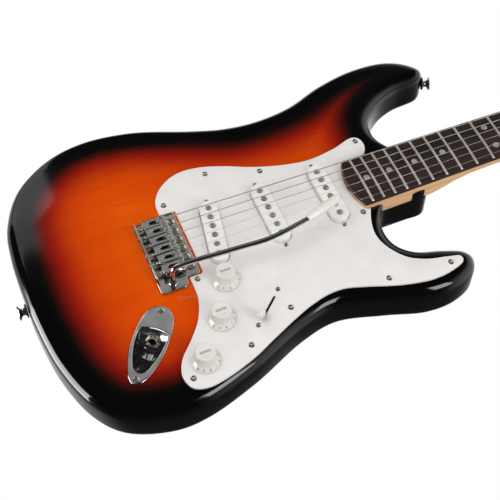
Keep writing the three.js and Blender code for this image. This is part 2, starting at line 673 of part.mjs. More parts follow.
function tremoloSpring(y) {
  const coil = rod([4, y, SPRING_Z], [84, y, SPRING_Z], 3.9, 12);
  const blockHook = rod([-5.1, y, SPRING_Z], [5, y, SPRING_Z], 0.9, 6);
  const clawHook = rod([83, y, SPRING_Z], [94.6, y, SPRING_Z], 0.9, 6);
  return join(coil, blockHook, clawHook);
}

function springClaw() {
  const bar = box([95, 97.2], [-25, 25], [5, 14.5]);
  const screws = [-13, 13].map((y) => rod([91, y, SPRING_Z], [103.6, y, SPRING_Z], 1.8, 8));
  return join(bar, ...screws);
}

// ---------------------------------------------------------------- tuners

const onHeadstock = (piece) => turn(piece, TUNER_ANGLE, FIRST_POST);

// One plate on the back of the headstock, with a gear housing pressed out for each tuner.
function tunerPlate() {
  const [low, top] = [HEEL_BACK - 8.6, HEEL_BACK];
  const plate = roundedBox([-11, 5 * TUNER_PITCH + 15.5], [-9.5, 11], [top - PEGHEAD_PLATE, top], 3);
  let made = plate;
  for (let i = 0; i < 6; i += 1) {
    const x = i * TUNER_PITCH;
    made = made.add(roundedBox([x - 6.8, x + 11.4], [-7.4, 9], [low, top - 0.5], 1.5, 2));
  }
  for (let i = 0; i < 6; i += 1) {
    const x = i * TUNER_PITCH;
    made = made.subtract(box([x - 5.8, x + 10.4], [-6.4, 8], [low + 1, top + 1]));
    made = made.subtract(rod([x + WORM_OFFSET, 5, WORM_Z], [x + WORM_OFFSET, 20, WORM_Z], 2.6, 10));
  }
  return onHeadstock(made);
}

function tunerPost(i) {
  const [gearLow, gearHigh, top] = [WORM_Z - 1.5, WORM_Z + 1.5, HEADSTOCK_TOP + 17];
  const profile = [
    [0, gearLow], [4.5, gearLow], [4.5, gearHigh], [POST_RADIUS, gearHigh], [POST_RADIUS, top], [0, top],
  ];
  return turned(postAt(i), profile, 10);
}

function tunerButton(i) {
  const x = i * TUNER_PITCH + WORM_OFFSET;
  const at = (y) => [x, y, WORM_Z];
  const worm = rod(at(-4), at(6), 2.3, 8);
  const shaft = rod(at(5), at(27), 1.9, 6);
  const grip = solid(new THREE.SphereGeometry(1, 8, 6).scale(8.6, 8, 3.4).translate(x, 31.5, WORM_Z));
  return onHeadstock(join(worm, shaft, grip));
}

// ---------------------------------------------------------------- strings

// Each string leaves its saddle's crest, crosses the nut and drops beside its tuner post.
function string(i) {
  const radius = STRING_RADII[i];
  const [nutY, bridgeY] = [stringNutY(i), stringBridgeY(i)];
  const [postX, postY] = postAt(i);
  const rest = 0.3;
  const nutZ = boardTop(nutY) + NUT.slot + radius + rest;
  const besideY = postY - POST_RADIUS - radius - rest;
  const points = [
    [-1.5, bridgeY, saddleCrest(bridgeY) + radius + rest],
    [NUT.x[0] - 0.5, nutY, nutZ],
    [NUT.x[1] + 0.5, nutY, nutZ],
    [postX - 6, besideY + (nutY - besideY) * (6 / (postX - SCALE)), HEADSTOCK_TOP + 9.5],
    [postX + 1, besideY, HEADSTOCK_TOP + 8.5],
  ];
  return wire(points, radius);
}

// ---------------------------------------------------------------- the assembly

const finish = (color, roughness, metalness = 0) =>
  new THREE.MeshStandardMaterial({ color, roughness, metalness });

const LACQUER = finish(0xc84b08, 0.15);
const WHITE = finish(0xe8e3df, 0.3);
const MAPLE = finish(0xc09573, 0.35);
const ROSEWOOD = finish(0x261b15, 0.6);
const CHROME = finish(0xb9b9b9, 0.12, 1);
const STEEL = finish(0x8f8f8f, 0.35, 1);
const COIL_BLACK = finish(0x141414, 0.6);
const BONE = finish(0xe6dfcc, 0.4);

const guitar = new THREE.Group();

function place(name, piece, material) {
  const { vertProperties, triVerts } = piece.getMesh();
  const geometry = new THREE.BufferGeometry();
  geometry.setAttribute("position", new THREE.BufferAttribute(new Float32Array(vertProperties), 3));
  geometry.setIndex(new THREE.BufferAttribute(new Uint32Array(triVerts), 1));
  const mesh = new THREE.Mesh(geometry, material);
  mesh.name = name;
  guitar.add(mesh);
}

place("body", body(), LACQUER);
place("pickguard", pickguard(), WHITE);
place("back_cover", backCover(), WHITE);
place("neck_plate", neckPlate(), CHROME);
place("neck", neck(), MAPLE);
place("fretboard", fretboard(), ROSEWOOD);
place("nut", nut(), BONE);
place("truss_rod", trussRod(), STEEL);
for (const pickup of PICKUPS) {
  place(`${pickup.name}_pickup_cover`, pickupCover(pickup), WHITE);
  place(`${pickup.name}_pickup_coil`, pickupCoil(pickup), COIL_BLACK);
}
for (const control of KNOBS) {
  place(control.name, knob(control), WHITE);
  place(control.pot, pot(control), STEEL);
}
place("switch_body", switchBody(), STEEL);
place("switch_lever", switchLever(), STEEL);
place("switch_tip", switchTip(), WHITE);
place("jack_plate", jackPlate(), CHROME);
place("output_jack", outputJack(), CHROME);
place("strap_button_horn", strapButton(HORN_BUTTON), CHROME);
place("strap_button_butt", strapButton(BUTT_BUTTON), CHROME);
place("bridge_plate", bridgePlate(), CHROME);
place("tremolo_block", tremoloBlock(), STEEL);
place("tremolo_arm", tremoloArm(), CHROME);
place("arm_tip", armTip(), WHITE);
place("spring_claw", springClaw(), STEEL);
SPRING_ROWS.forEach((y, k) => place(`tremolo_spring_${k + 1}`, tremoloSpring(y), STEEL));
place("tuner_plate", tunerPlate(), CHROME);
STRING_RADII.forEach((_, i) => {
  place(`saddle_${i + 1}`, saddle(i), CHROME);
  place(`string_${i + 1}`, string(i), STEEL);
  place(`tuner_post_${i + 1}`, tunerPost(i), CHROME);
  place(`tuner_button_${i + 1}`, tunerButton(i), CHROME);
});

export default guitar;
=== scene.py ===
"""The looks of an electric guitar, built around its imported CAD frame. Shapes are in millimetres and become
metres in build(). +X runs to the headstock, +Y to the bass side, +Z out of the playing face."""

import json
import math
import random

import bmesh
import bpy
import numpy as np
from mathutils import Matrix, Vector
from mathutils.geometry import delaunay_2d_cdt
from mathutils.kdtree import KDTree

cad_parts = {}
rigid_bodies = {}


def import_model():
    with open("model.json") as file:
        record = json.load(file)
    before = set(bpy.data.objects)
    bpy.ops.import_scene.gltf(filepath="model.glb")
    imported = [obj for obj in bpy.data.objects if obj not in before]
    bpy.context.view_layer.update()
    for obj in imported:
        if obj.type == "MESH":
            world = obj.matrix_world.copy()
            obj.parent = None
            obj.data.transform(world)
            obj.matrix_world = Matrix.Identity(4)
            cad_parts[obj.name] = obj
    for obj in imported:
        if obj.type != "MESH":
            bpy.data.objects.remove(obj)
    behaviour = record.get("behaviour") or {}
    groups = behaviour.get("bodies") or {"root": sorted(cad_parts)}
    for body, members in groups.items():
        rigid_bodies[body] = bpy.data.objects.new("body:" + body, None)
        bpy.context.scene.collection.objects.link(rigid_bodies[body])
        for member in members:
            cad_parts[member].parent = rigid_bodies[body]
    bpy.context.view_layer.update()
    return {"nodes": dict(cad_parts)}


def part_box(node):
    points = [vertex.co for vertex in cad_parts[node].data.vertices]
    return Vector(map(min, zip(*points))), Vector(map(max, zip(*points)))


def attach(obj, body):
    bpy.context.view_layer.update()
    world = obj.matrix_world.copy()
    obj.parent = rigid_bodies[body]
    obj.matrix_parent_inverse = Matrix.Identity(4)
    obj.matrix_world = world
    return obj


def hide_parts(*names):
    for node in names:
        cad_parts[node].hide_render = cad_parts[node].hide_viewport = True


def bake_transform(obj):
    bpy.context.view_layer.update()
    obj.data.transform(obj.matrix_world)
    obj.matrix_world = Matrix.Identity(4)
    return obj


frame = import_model()

MM = 0.001
SMOOTH_ANGLE = math.radians(35)
dice = random.Random(7)


def low(node):
    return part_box(node)[0] / MM


def high(node):
    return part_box(node)[1] / MM


def middle(node):
    return (low(node) + high(node)) / 2


# ---------------------------------------------------------------- levels and places, read from the frame

TOP = high("body").z
BACK = low("body").z
GUARD_TOP = high("pickguard").z
HEEL_BACK = low("neck").z
NECK_TOP = low("fretboard").z
BOARD_CROWN = NECK_TOP + 5.2
BOARD_RADIUS = 300
FRET_HEIGHT = 1.0
SCALE = low("nut").x
NUT_END = high("nut").x
FRETS = 21
HEADSTOCK_TOP = HEEL_BACK + 14
PLATE_BASE = low("bridge_plate").z
PLATE_TOP = PLATE_BASE + 1.8
PIVOT_X = 7
PIVOT_SCREW_LIFT = 0.6
ADJUSTER_Z = PLATE_TOP + 4
LIP_TOP = PLATE_TOP + 7.2
STRING_HOLE_X = -12.5
POLE_TOP = high("neck_pickup_coil").z
COVER_TOP = high("neck_pickup_cover").z
NUT_HALF_WIDTH = 21
BUTT_HALF_WIDTH = 27.95
BUTT_X = low("neck").x
BUTT_RADIUS = 68
STRING_RADII = [0.58, 0.46, 0.33, 0.22, 0.17, 0.13]
POSTS = [middle(f"tuner_post_{i}") for i in range(1, 7)]
POST_RADIUS = 3.1
TUNER_ANGLE = math.atan2(POSTS[5].y - POSTS[0].y, POSTS[5].x - POSTS[0].x)
TUNER_PITCH = 25.4
WORM_OFFSET = 7.3
WORM_Z = middle("tuner_button_1").z
PICKUPS = {"bridge": math.radians(-10.3), "middle": 0.0, "neck": 0.0}
PICKUP_X = {name: middle(f"{name}_pickup_cover").x for name in PICKUPS}
KNOBS = ["volume_knob", "tone_knob_1", "tone_knob_2"]
SWITCH_AT = middle("switch_body")
SWITCH_ANGLE = math.atan2(28.3, 30.9)
JACK_AT = Vector((-56, -89.2, TOP))
JACK_ANGLE = math.atan2(-57.1, -43.8)
ARM_POST = Vector((-14, -38, 0))


def string_nut_y(i):
    return 7 * (2.5 - i)


def string_bridge_y(i):
    return 10.5 * (2.5 - i)


def board_top(y):
    return BOARD_CROWN - y * y / (2 * BOARD_RADIUS)


def saddle_crest(i):
    return high(f"saddle_{i + 1}").z


def fret_x(n):
    return SCALE / 2 ** (n / 12)


def neck_half_width(x):
    return NUT_HALF_WIDTH + (BUTT_HALF_WIDTH - NUT_HALF_WIDTH) * (SCALE - x) / (SCALE - BUTT_X)


# ---------------------------------------------------------------- outlines, clockwise from the butt

BODY_KNOTS = [
    (-144, 0), (-143.5, 50), (-137, 90), (-115, 131), (-76, 160.5), (-38, 169), (8, 161.5), (68, 135.5),
    (98, 124.3), (131, 120.3), (169, 124.5), (210, 139), (250, 146.5), (288, 143.5), (310.5, 131),
    (319.6, 116),
    (313.5, 107), (281, 102), (258, 92), (240, 74), (234.5, 51), (240, 34), (250, 26.5), (257, 19),
    (257, -19),
    (250, -27), (205, -27), (193.5, -42), (192.5, -60), (197, -74), (209, -85.5), (232, -93.5), (250, -102),
    (256, -112), (250, -125), (228, -134.5), (200, -134.8), (161, -123), (117, -112.2), (81, -119.3),
    (23, -143.5), (-28, -158.3), (-59, -159), (-99.5, -144.5), (-121, -120), (-137, -75), (-143.5, -23),
]
GUARD_TREBLE_KNOTS = [
    (2, -37.3), (1, -61), (-7, -82), (-19, -98), (-35, -116), (-40, -131), (-35.5, -144), (-24, -148.5),
    (-7, -146.8), (25, -136.8), (49, -125.5), (72, -115), (92, -107), (112, -102), (128, -102), (145, -107),
    (179, -118.7), (208, -124), (230, -121.5), (242, -116.3), (242, -111), (230, -107), (211, -102),
    (195, -92.5), (183, -74), (180, -59), (183, -44), (189, -30),
]
GUARD_BASS_KNOTS = [
    (206, 29), (213.5, 34.5), (217.5, 44), (215, 54), (208, 56.5), (189, 51), (160, 47), (137, 50), (107, 59),
    (78, 72), (56, 79.5), (35, 81), (20, 75.8), (8, 66), (1, 53), (0.3, 38.9),
]
HEADSTOCK_KNOTS = [
    (650, 21.1), (666, 22.6), (677, 28), (687, 34.5), (697, 33.6), (760, 17.2), (816, 2.6), (829, -3),
    (837, -14), (836, -28), (825, -37.5), (806, -40.5), (775, -38.5), (740, -33.5), (700, -27), (670, -22.4),
    (650, -21.1),
]
GUARD_NOTCH = [(12.8, -37.3), (14.6, -36.6), (15.5, -34.8), (15.5, 38.9)]
GUARD_SCREWS = [
    (58.3, 69.4), (109, 52.2), (211.2, 50.5), (180.6, -31.3), (169.8, -108.2), (230.3, -114), (74.4, -102.4),
    (27, -124.7), (-31.8, -136.1), (8.1, -41.9), (7.9, 48.7),
]
JACK_PLATE_KNOTS = [
    (-41.4, 0), (-41.1, 2), (-40.1, 4.9), (-37.4, 8.7), (-33, 12.3), (-26, 14.7), (-17, 16), (-5, 16.4),
    (6, 15.9), (15, 14.5), (24, 12.2), (31, 9.7), (36, 7), (39.6, 3.9), (40.9, 1.6), (41.1, 0),
]


def catmull(knots, spacing, closed):
    """Points about `spacing` apart on a centripetal Catmull-Rom curve through the knots."""
    pts = [np.array(k, float) for k in knots]
    if closed:
        pts = [pts[-1]] + pts + [pts[0], pts[1]]
    else:
        pts = [2 * pts[0] - pts[1]] + pts + [2 * pts[-1] - pts[-2]]
    out = []
    for a, b, c, d in zip(pts, pts[1:], pts[2:], pts[3:]):
        t1 = np.linalg.norm(b - a) ** 0.5
        t2 = t1 + np.linalg.norm(c - b) ** 0.5
        t3 = t2 + np.linalg.norm(d - c) ** 0.5
        for step in range(24):
            t = t1 + (t2 - t1) * step / 24
            ab = a + (b - a) * t / t1
            bc = b + (c - b) * (t - t1) / (t2 - t1)
            cd = c + (d - c) * (t - t2) / (t3 - t2)
            abc = ab + (bc - ab) * t / t2
            bcd = bc + (cd - bc) * (t - t1) / (t3 - t1)
            out.append(abc + (bcd - abc) * (t - t1) / (t2 - t1))
    out.append(pts[-2])
    out = np.array(out)
    run = np.concatenate([[0], np.cumsum(np.linalg.norm(np.diff(out, axis=0), axis=1))])
    count = max(3, round(run[-1] / spacing))
    at = np.linspace(0, run[-1], count + 1)
    even = np.stack([np.interp(at, run, out[:, k]) for k in range(out.shape[1])], axis=1)
    return even[:-1] if closed else even


def signed_area(loop):
    x, y = loop[:, 0], loop[:, 1]
    return 0.5 * float(np.sum(x * np.roll(y, -1) - y * np.roll(x, -1)))


def ccw(loop):
    loop = np.array(loop, float)
    return loop if signed_area(loop) > 0 else loop[::-1]


def inward(loop):
    """Unit normals that point into a counter-clockwise loop."""
    ahead = np.roll(loop, -1, axis=0) - loop
    ahead /= np.linalg.norm(ahead, axis=1)[:, None] + 1e-12
    both = ahead + np.roll(ahead, 1, axis=0)
    both /= np.linalg.norm(both, axis=1)[:, None] + 1e-12
    return np.stack([-both[:, 1], both[:, 0]], axis=1)


def circle(x, y, radius, sides=32):
    turn = np.linspace(0, 2 * math.pi, sides, endpoint=False)
    return np.stack([x + radius * np.cos(turn), y + radius * np.sin(turn)], axis=1)


def stadium(x, y, length, width, angle, segments=14):
    """A bar with fully rounded ends."""
    points = []
    for end in (1, -1):
        for k in range(segments + 1):
            bend = -math.pi / 2 + math.pi * k / segments
            along = end * ((length - width) / 2 + width / 2 * math.cos(bend))
            out = end * width / 2 * math.sin(bend)
            points.append((along, out))
    return turned_2d(points, angle, x, y)


def rectangle(x0, x1, y0, y1, radius, segments=6):
    points = []
    for quarter, (x, y) in enumerate(((x1, y1), (x0, y1), (x0, y0), (x1, y0))):
        cx = x - math.copysign(radius, x - (x0 + x1) / 2)
        cy = y - math.copysign(radius, y - (y0 + y1) / 2)
        for k in range(segments + 1):
            turn = math.pi / 2 * (quarter + k / segments)
            points.append((cx + radius * math.cos(turn), cy + radius * math.sin(turn)))
    return np.array(points)


def turned_2d(points, angle, x=0.0, y=0.0):
    p = np.array(points, float)
    c, s = math.cos(angle), math.sin(angle)
    return np.stack([x + p[:, 0] * c - p[:, 1] * s, y + p[:, 0] * s + p[:, 1] * c], axis=1)


# ---------------------------------------------------------------- shapes: lists of points and of faces

def merged(*shapes):
    verts, faces = [], []
    for points, polys in shapes:
        start = len(verts)
        verts.extend(tuple(p) for p in points)
        faces.extend(tuple(start + k for k in poly) for poly in polys)
    return verts, faces


def moved(shape, matrix):
    return [tuple(matrix @ Vector(p)) for p in shape[0]], shape[1]


def at(x=0.0, y=0.0, z=0.0, turn=0.0):
    return Matrix.Translation((x, y, z)) @ Matrix.Rotation(turn, 4, "Z")


def aimed(start, towards):
    """A matrix that carries +Z onto the way from start to towards, and the origin onto start."""
    start, towards = Vector(start), Vector(towards)
    return Matrix.Translation(start) @ (towards - start).to_track_quat("Z", "Y").to_matrix().to_4x4()


def skin(rings, closed_ends=True):
    """Quads between rings of equal count, with a fan over each end."""
    count = len(rings[0])
    verts = [tuple(p) for ring in rings for p in ring]
    faces = []
    for r in range(len(rings) - 1):
        for i in range(count):
            j = (i + 1) % count
            faces.append((r * count + i, r * count + j, (r + 1) * count + j, (r + 1) * count + i))
    if closed_ends:
        for r in (0, len(rings) - 1):
            centre = len(verts)
            verts.append(tuple(np.mean(np.array(rings[r]), axis=0)))
            faces.extend((r * count + i, r * count + (i + 1) % count, centre) for i in range(count))
    return verts, faces


def lathe(profile, steps=40, ribs=0):
    """A turned piece about Z from (radius, z) pairs that start and end on the axis, or close on themselves.
    A third number is the depth of the ribs at that height."""
    rings = []
    for radius, z, *depth in profile:
        ring = []
        for t in np.linspace(0, 2 * math.pi, steps, endpoint=False):
            r = radius - (depth[0] * (0.5 - 0.5 * math.cos(ribs * t)) if depth else 0)
            ring.append((r * math.cos(t), r * math.sin(t), z))
        rings.append(ring)
    return skin(rings, closed_ends=False)


def sweep(path, radius, sides=16):
    """A round bar along a path; radius is one number or one for each point."""
    pts = [Vector(p) for p in path]
    radii = radius if hasattr(radius, "__len__") else [radius] * len(pts)
    rings, side = [], None
    for k, point in enumerate(pts):
        ahead = (pts[min(k + 1, len(pts) - 1)] - pts[max(k - 1, 0)]).normalized()
        if side is None:
            side = ahead.orthogonal()
        side = (side - ahead * side.dot(ahead)).normalized()
        other = ahead.cross(side)
        rings.append([
            point + radii[k] * (math.cos(t) * side + math.sin(t) * other)
            for t in np.linspace(0, 2 * math.pi, sides, endpoint=False)
        ])
    return skin(rings)


def fill(loops, height, grid=0.0):
    """Triangles inside the loops, which may hold holes. height gives z for x and y, and grid adds inner
    points."""
    points, edges = [], []
    for loop in loops:
        start, count = len(points), len(loop)
        points.extend(Vector((float(p[0]), float(p[1]))) for p in loop)
        edges.extend((start + i, start + (i + 1) % count) for i in range(count))
    if grid:
        points.extend(grid_points(loops[0], grid))
    verts, _, faces, _, _, _ = delaunay_2d_cdt(points, edges, [], 1, 1e-5)
    kept = []
    for face in faces:
        centre = sum((verts[k] for k in face), Vector((0, 0))) / len(face)
        if sum(encloses(loop, centre.x, centre.y) for loop in loops) % 2:
            kept.append(tuple(face))
    return [(v.x, v.y, height(v.x, v.y)) for v in verts], kept


def encloses(loop, x, y):
    """Whether a point lies inside a loop."""
    a, b = np.asarray(loop, float), np.roll(np.asarray(loop, float), -1, axis=0)
    spans = (a[:, 1] > y) != (b[:, 1] > y)
    a, b = a[spans], b[spans]
    crossings = a[:, 0] + (b[:, 0] - a[:, 0]) * (y - a[:, 1]) / (b[:, 1] - a[:, 1])
    return int(np.sum(crossings > x)) % 2 == 1


def grid_points(loop, spacing):
    x0, y0 = loop.min(axis=0)
    x1, y1 = loop.max(axis=0)
    found = []
    for row, y in enumerate(np.arange(y0, y1, spacing * 0.87)):
        xs = np.arange(x0 + (row % 2) * spacing / 2, x1, spacing)
        inside = np.zeros(len(xs), bool)
        for a, b in zip(loop, np.roll(loop, -1, axis=0)):
            if (a[1] > y) != (b[1] > y):
                inside ^= xs < a[0] + (b[0] - a[0]) * (y - a[1]) / (b[1] - a[1])
        for x in xs[inside]:
            if np.min(np.hypot(loop[:, 0] - x, loop[:, 1] - y)) > spacing * 0.6:
                found.append(Vector((float(x), float(y))))
    return found


def sheet(outer, holes, z0, z1, bevel=0.0, under=0.0, steps=3):
    """A flat plate with holes. Its upper edges are rounded by `bevel` and its lower ones by `under`."""
    parts, ends = [], ([], [])
    for k, loop in enumerate([outer] + list(holes)):
        loop = ccw(loop)
        normals = inward(loop) * (-1 if k else 1)
        rings = []
        for side, face, radius in ((1, z0, under), (-1, z1, bevel)):
            turns = np.linspace(0, math.pi / 2, steps + 1) if radius else [0.0]
            edge = [(loop + normals * radius * (1 - math.cos(t)), face + side * radius * (1 - math.sin(t)))
                    for t in turns]
            ends[side < 0].append(edge[-1][0])
            rings += edge[::-side]
        parts.append(skin([[(x, y, z) for x, y in ring] for ring, z in rings], closed_ends=False))
    parts.append(fill(ends[0], lambda x, y: z0))
    parts.append(fill(ends[1], lambda x, y: z1))
    return merged(*parts)


def block(x0, x1, y0, y1, z0, z1, corner, bevel, under=0.0):
    return sheet(rectangle(x0, x1, y0, y1, corner), [], z0, z1, bevel, under)


def filleted(corners, segments=6):
    """A loop through (x, y, radius) corners, each rounded by its radius."""
    out = []
    for k, (x, y, radius) in enumerate(corners):
        corner = Vector((x, y))
        back = (Vector(corners[k - 1][:2]) - corner).normalized()
        ahead = (Vector(corners[(k + 1) % len(corners)][:2]) - corner).normalized()
        half = back.angle(ahead) / 2
        centre = corner + (back + ahead).normalized() * radius / math.sin(half)
        start = corner + back * radius / math.tan(half) - centre
        end = corner + ahead * radius / math.tan(half) - centre
        out += [centre + start.lerp(end, step / segments).normalized() * radius
                for step in range(segments + 1)]
    return np.array([(p.x, p.y) for p in out])


def screw(radius, rim, dome, shank, recess="cross"):
    """A screw head on the plane z = 0 with a cross or hexagon cut into its dome, and a plain shank below."""
    if recess == "cross":
        a, b = 0.6 * radius, 0.13 * radius
        cut = [(a, -b), (a, b), (b, b), (b, a), (-b, a), (-b, b), (-a, b), (-a, -b), (-b, -b), (-b, -a),
               (b, -a), (b, -b)]
    else:
        cut = [(0.55 * radius * math.cos(t), 0.55 * radius * math.sin(t)) for t in np.arange(6) * math.pi / 3]
    cut = np.array(cut)

    def height(x, y):
        return rim + dome * (1 - (x * x + y * y) / radius ** 2)

    outer = circle(0, 0, radius, 28)
    ring = circle(0, 0, 0.8 * radius, 28)
    floor = rim + dome - 0.45 * radius
    wall = skin([[(x, y, height(x, y)) for x, y in cut], [(x, y, floor) for x, y in cut]], closed_ends=False)
    return merged(
        lathe([(0, -shank), (0.45 * radius, -shank), (0.45 * radius, 0), (radius, 0), (radius, rim)], 28),
        skin([[(x, y, height(x, y)) for x, y in loop] for loop in (outer, ring)], closed_ends=False),
        fill([ring, cut], height),
        wall,
        fill([cut], lambda x, y: floor),
    )


def coil(start, end, radius, wire, turns, lead=0.0, sides=8):
    """A helical spring between two points, with straight leads at its ends."""
    start, end = Vector(start), Vector(end)
    length = (end - start).length
    steps = int(turns * 14)
    path = [(0, 0, 0)] if lead else []
    for k in range(steps + 1):
        t = 2 * math.pi * turns * k / steps
        path.append((radius * math.cos(t), radius * math.sin(t), lead + (length - 2 * lead) * k / steps))
    if lead:
        path.append((0, 0, length))
    return moved(sweep(path, wire, sides), aimed(start, end))


# ---------------------------------------------------------------- objects

def build(name, shape, material, body="root", replaces=(), angle=SMOOTH_ANGLE):
    """One object from a shape, welded, with its normals out, riding on a body."""
    mesh = bpy.data.meshes.new(name)
    mesh.from_pydata([Vector(p) * MM for p in shape[0]], [], shape[1])
    mesh.materials.append(material)
    weld(mesh, angle)
    obj = bpy.data.objects.new(name, mesh)
    bpy.context.scene.collection.objects.link(obj)
    if body:
        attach(obj, body)
    if replaces:
        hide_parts(*replaces)
    return obj


def weld(mesh, angle=SMOOTH_ANGLE):
    bm = bmesh.new()
    bm.from_mesh(mesh)
    bmesh.ops.remove_doubles(bm, verts=bm.verts, dist=2e-7)
    bmesh.ops.dissolve_degenerate(bm, edges=bm.edges, dist=1e-8)
    bmesh.ops.delete(bm, geom=[v for v in bm.verts if not v.link_faces], context="VERTS")
    bmesh.ops.recalc_face_normals(bm, faces=bm.faces)
    bm.to_mesh(mesh)
    bm.free()
    mesh.shade_smooth()
    mesh.set_sharp_from_angle(angle=angle)


def carve(obj, *cutters, material=None):
    """Cuts each shape out of an object for good. The cut faces take the given material."""
    for k, cutter in enumerate(cutters):
        tool = build(f"cutter_{k}", cutter, material or obj.data.materials[0], body=None)
        modifier = obj.modifiers.new("carve", "BOOLEAN")
        modifier.operation = "DIFFERENCE"
        modifier.solver = "EXACT"
        modifier.material_mode = "TRANSFER"
        modifier.object = tool
        bpy.context.view_layer.update()
        view = bpy.context.evaluated_depsgraph_get()
        cut = bpy.data.meshes.new_from_object(obj.evaluated_get(view))
        obj.modifiers.clear()
        obj.data = cut
        bpy.data.objects.remove(tool)
    weld(obj.data)


def machine(node, bevel, material, segments=2, angle=30):
    """Rounds the edges of a CAD node that keeps its shape, and gives it a material."""
    obj = frame["nodes"][node]
    flat = obj.modifiers.new("flat", "DECIMATE")
    flat.decimate_type = "DISSOLVE"
    flat.angle_limit = math.radians(2)
    edge = obj.modifiers.new("edge", "BEVEL")
    edge.width = bevel * MM
    edge.segments = segments
    edge.limit_method = "ANGLE"
    edge.angle_limit = math.radians(angle)
    edge.harden_normals = True
    obj.data.shade_smooth()
    obj.data.materials.clear()
    obj.data.materials.append(material)
    return obj


# ---------------------------------------------------------------- materials

def nodes_of(name):
    material = bpy.data.materials.new(name)
    material.use_nodes = True
    tree = material.node_tree
    return material, tree, tree.nodes["Principled BSDF"]


def wire_up(tree, kind, inputs=None, **settings):
    """A node with its settings, whose inputs are values or other nodes' outputs."""
    node = tree.nodes.new(kind)
    for key, value in settings.items():
        setattr(node, key, value)
    for key, value in (inputs or {}).items():
        if isinstance(value, bpy.types.NodeSocket):
            tree.links.new(value, node.inputs[key])
        else:
            node.inputs[key].default_value = value
    return node


def place_vector(tree, scale):
    """Object coordinates scaled along each axis, for grain that runs one way."""
    coords = tree.nodes.new("ShaderNodeTexCoord").outputs["Object"]
    return wire_up(tree, "ShaderNodeMapping", {"Vector": coords, "Scale": scale}).outputs["Vector"]


def noise(tree, scale, detail=4.0, stretch=(1, 1, 1), roughness=0.5, distortion=0.0):
    vector = place_vector(tree, stretch)
    inputs = {"Vector": vector, "Scale": scale, "Detail": detail, "Roughness": roughness,
              "Distortion": distortion}
    return wire_up(tree, "ShaderNodeTexNoise", inputs).outputs["Fac"]


def ramp(tree, value, stops, mode="LINEAR"):
    node = wire_up(tree, "ShaderNodeValToRGB", {"Fac": value})
    node.color_ramp.interpolation = mode
    elements = node.color_ramp.elements
    while len(elements) > 1:
        elements.remove(elements[-1])
    elements[0].position, elements[0].color = stops[0][0], (*linear(stops[0][1]), 1)
    for position, color in stops[1:]:
        elements.new(position).color = (*linear(color), 1)
    return node.outputs["Color"]


def linear(color):
    """sRGB 0 to 255, to linear."""
    return tuple((c / 255 / 12.92) if c <= 10.3 else ((c / 255 + 0.055) / 1.055) ** 2.4 for c in color)


def mixed(tree, first, second, share, blend="MIX"):
    node = wire_up(tree, "ShaderNodeMix", {}, data_type="RGBA", blend_type=blend)
    for key, value in (("A", first), ("B", second), ("Factor", share)):
        socket = next(s for s in node.inputs if s.name == key and s.enabled)
        if isinstance(value, bpy.types.NodeSocket):
            tree.links.new(value, socket)
        elif key == "Factor":
            socket.default_value = value
        else:
            socket.default_value = (*linear(value), 1)
    return next(s for s in node.outputs if s.enabled)


def bump(tree, shader, height, strength, distance, target="Normal"):
    inputs = {"Height": height, "Strength": strength, "Distance": distance * MM}
    tree.links.new(wire_up(tree, "ShaderNodeBump", inputs).outputs["Normal"], shader.inputs[target])


BURST_REACH = 120.0
BURST = [
    (0, (4, 4, 4)), (17, (5, 4, 4)), (23, (14, 8, 6)), (29, (60, 12, 7)), (35, (108, 18, 7)),
    (41, (140, 24, 7)),
    (47, (162, 36, 8)), (53, (180, 49, 5)), (59, (190, 58, 4)), (65, (200, 65, 3)), (77, (210, 70, 2)),
    (89, (214, 74, 1)), (101, (219, 80, 1)), (112, (225, 87, 3)),
]


def sunburst():
    """Orange wood under clear lacquer, through red to black at the edge. The mesh holds each point's `edge`
    distance in millimetres."""
    material, tree, shader = nodes_of("sunburst_lacquer")
    edge = wire_up(tree, "ShaderNodeAttribute", {}, attribute_name="edge").outputs["Fac"]
    cloud = noise(tree, 14, 3)
    shift = wire_up(tree, "ShaderNodeMath", {0: cloud, 1: 7.0, 2: -3.5}, operation="MULTIPLY_ADD").outputs[0]
    depth = wire_up(tree, "ShaderNodeMath", {0: edge, 1: shift}, operation="ADD").outputs[0]
    share = wire_up(tree, "ShaderNodeMath", {0: depth, 1: BURST_REACH}, operation="DIVIDE").outputs[0]
    burst = ramp(tree, share, [(depth_mm / BURST_REACH, color) for depth_mm, color in BURST])
    fine = noise(tree, 460, 5, stretch=(0.03, 1, 1), distortion=0.2)
    broad = noise(tree, 70, 3, stretch=(0.1, 1, 1), distortion=0.6)
    grain = ramp(tree, fine, [(0.32, (226, 206, 190)), (0.5, (255, 255, 255)), (0.75, (255, 250, 240))])
    bands = ramp(tree, broad, [(0.3, (238, 220, 205)), (0.6, (255, 255, 255))])
    wood = mixed(tree, mixed(tree, burst, grain, 0.4, "MULTIPLY"), bands, 0.4, "MULTIPLY")
    tree.links.new(wood, shader.inputs["Base Color"])
    shader.inputs["Roughness"].default_value = 0.5
    shader.inputs["Specular IOR Level"].default_value = 0.0
    shader.inputs["Coat Weight"].default_value = 1.0
    shader.inputs["Coat Roughness"].default_value = 0.09
    shader.inputs["Coat IOR"].default_value = 1.5
    bump(tree, shader, noise(tree, 12, 2), 0.05, 0.6, "Coat Normal")
    return material


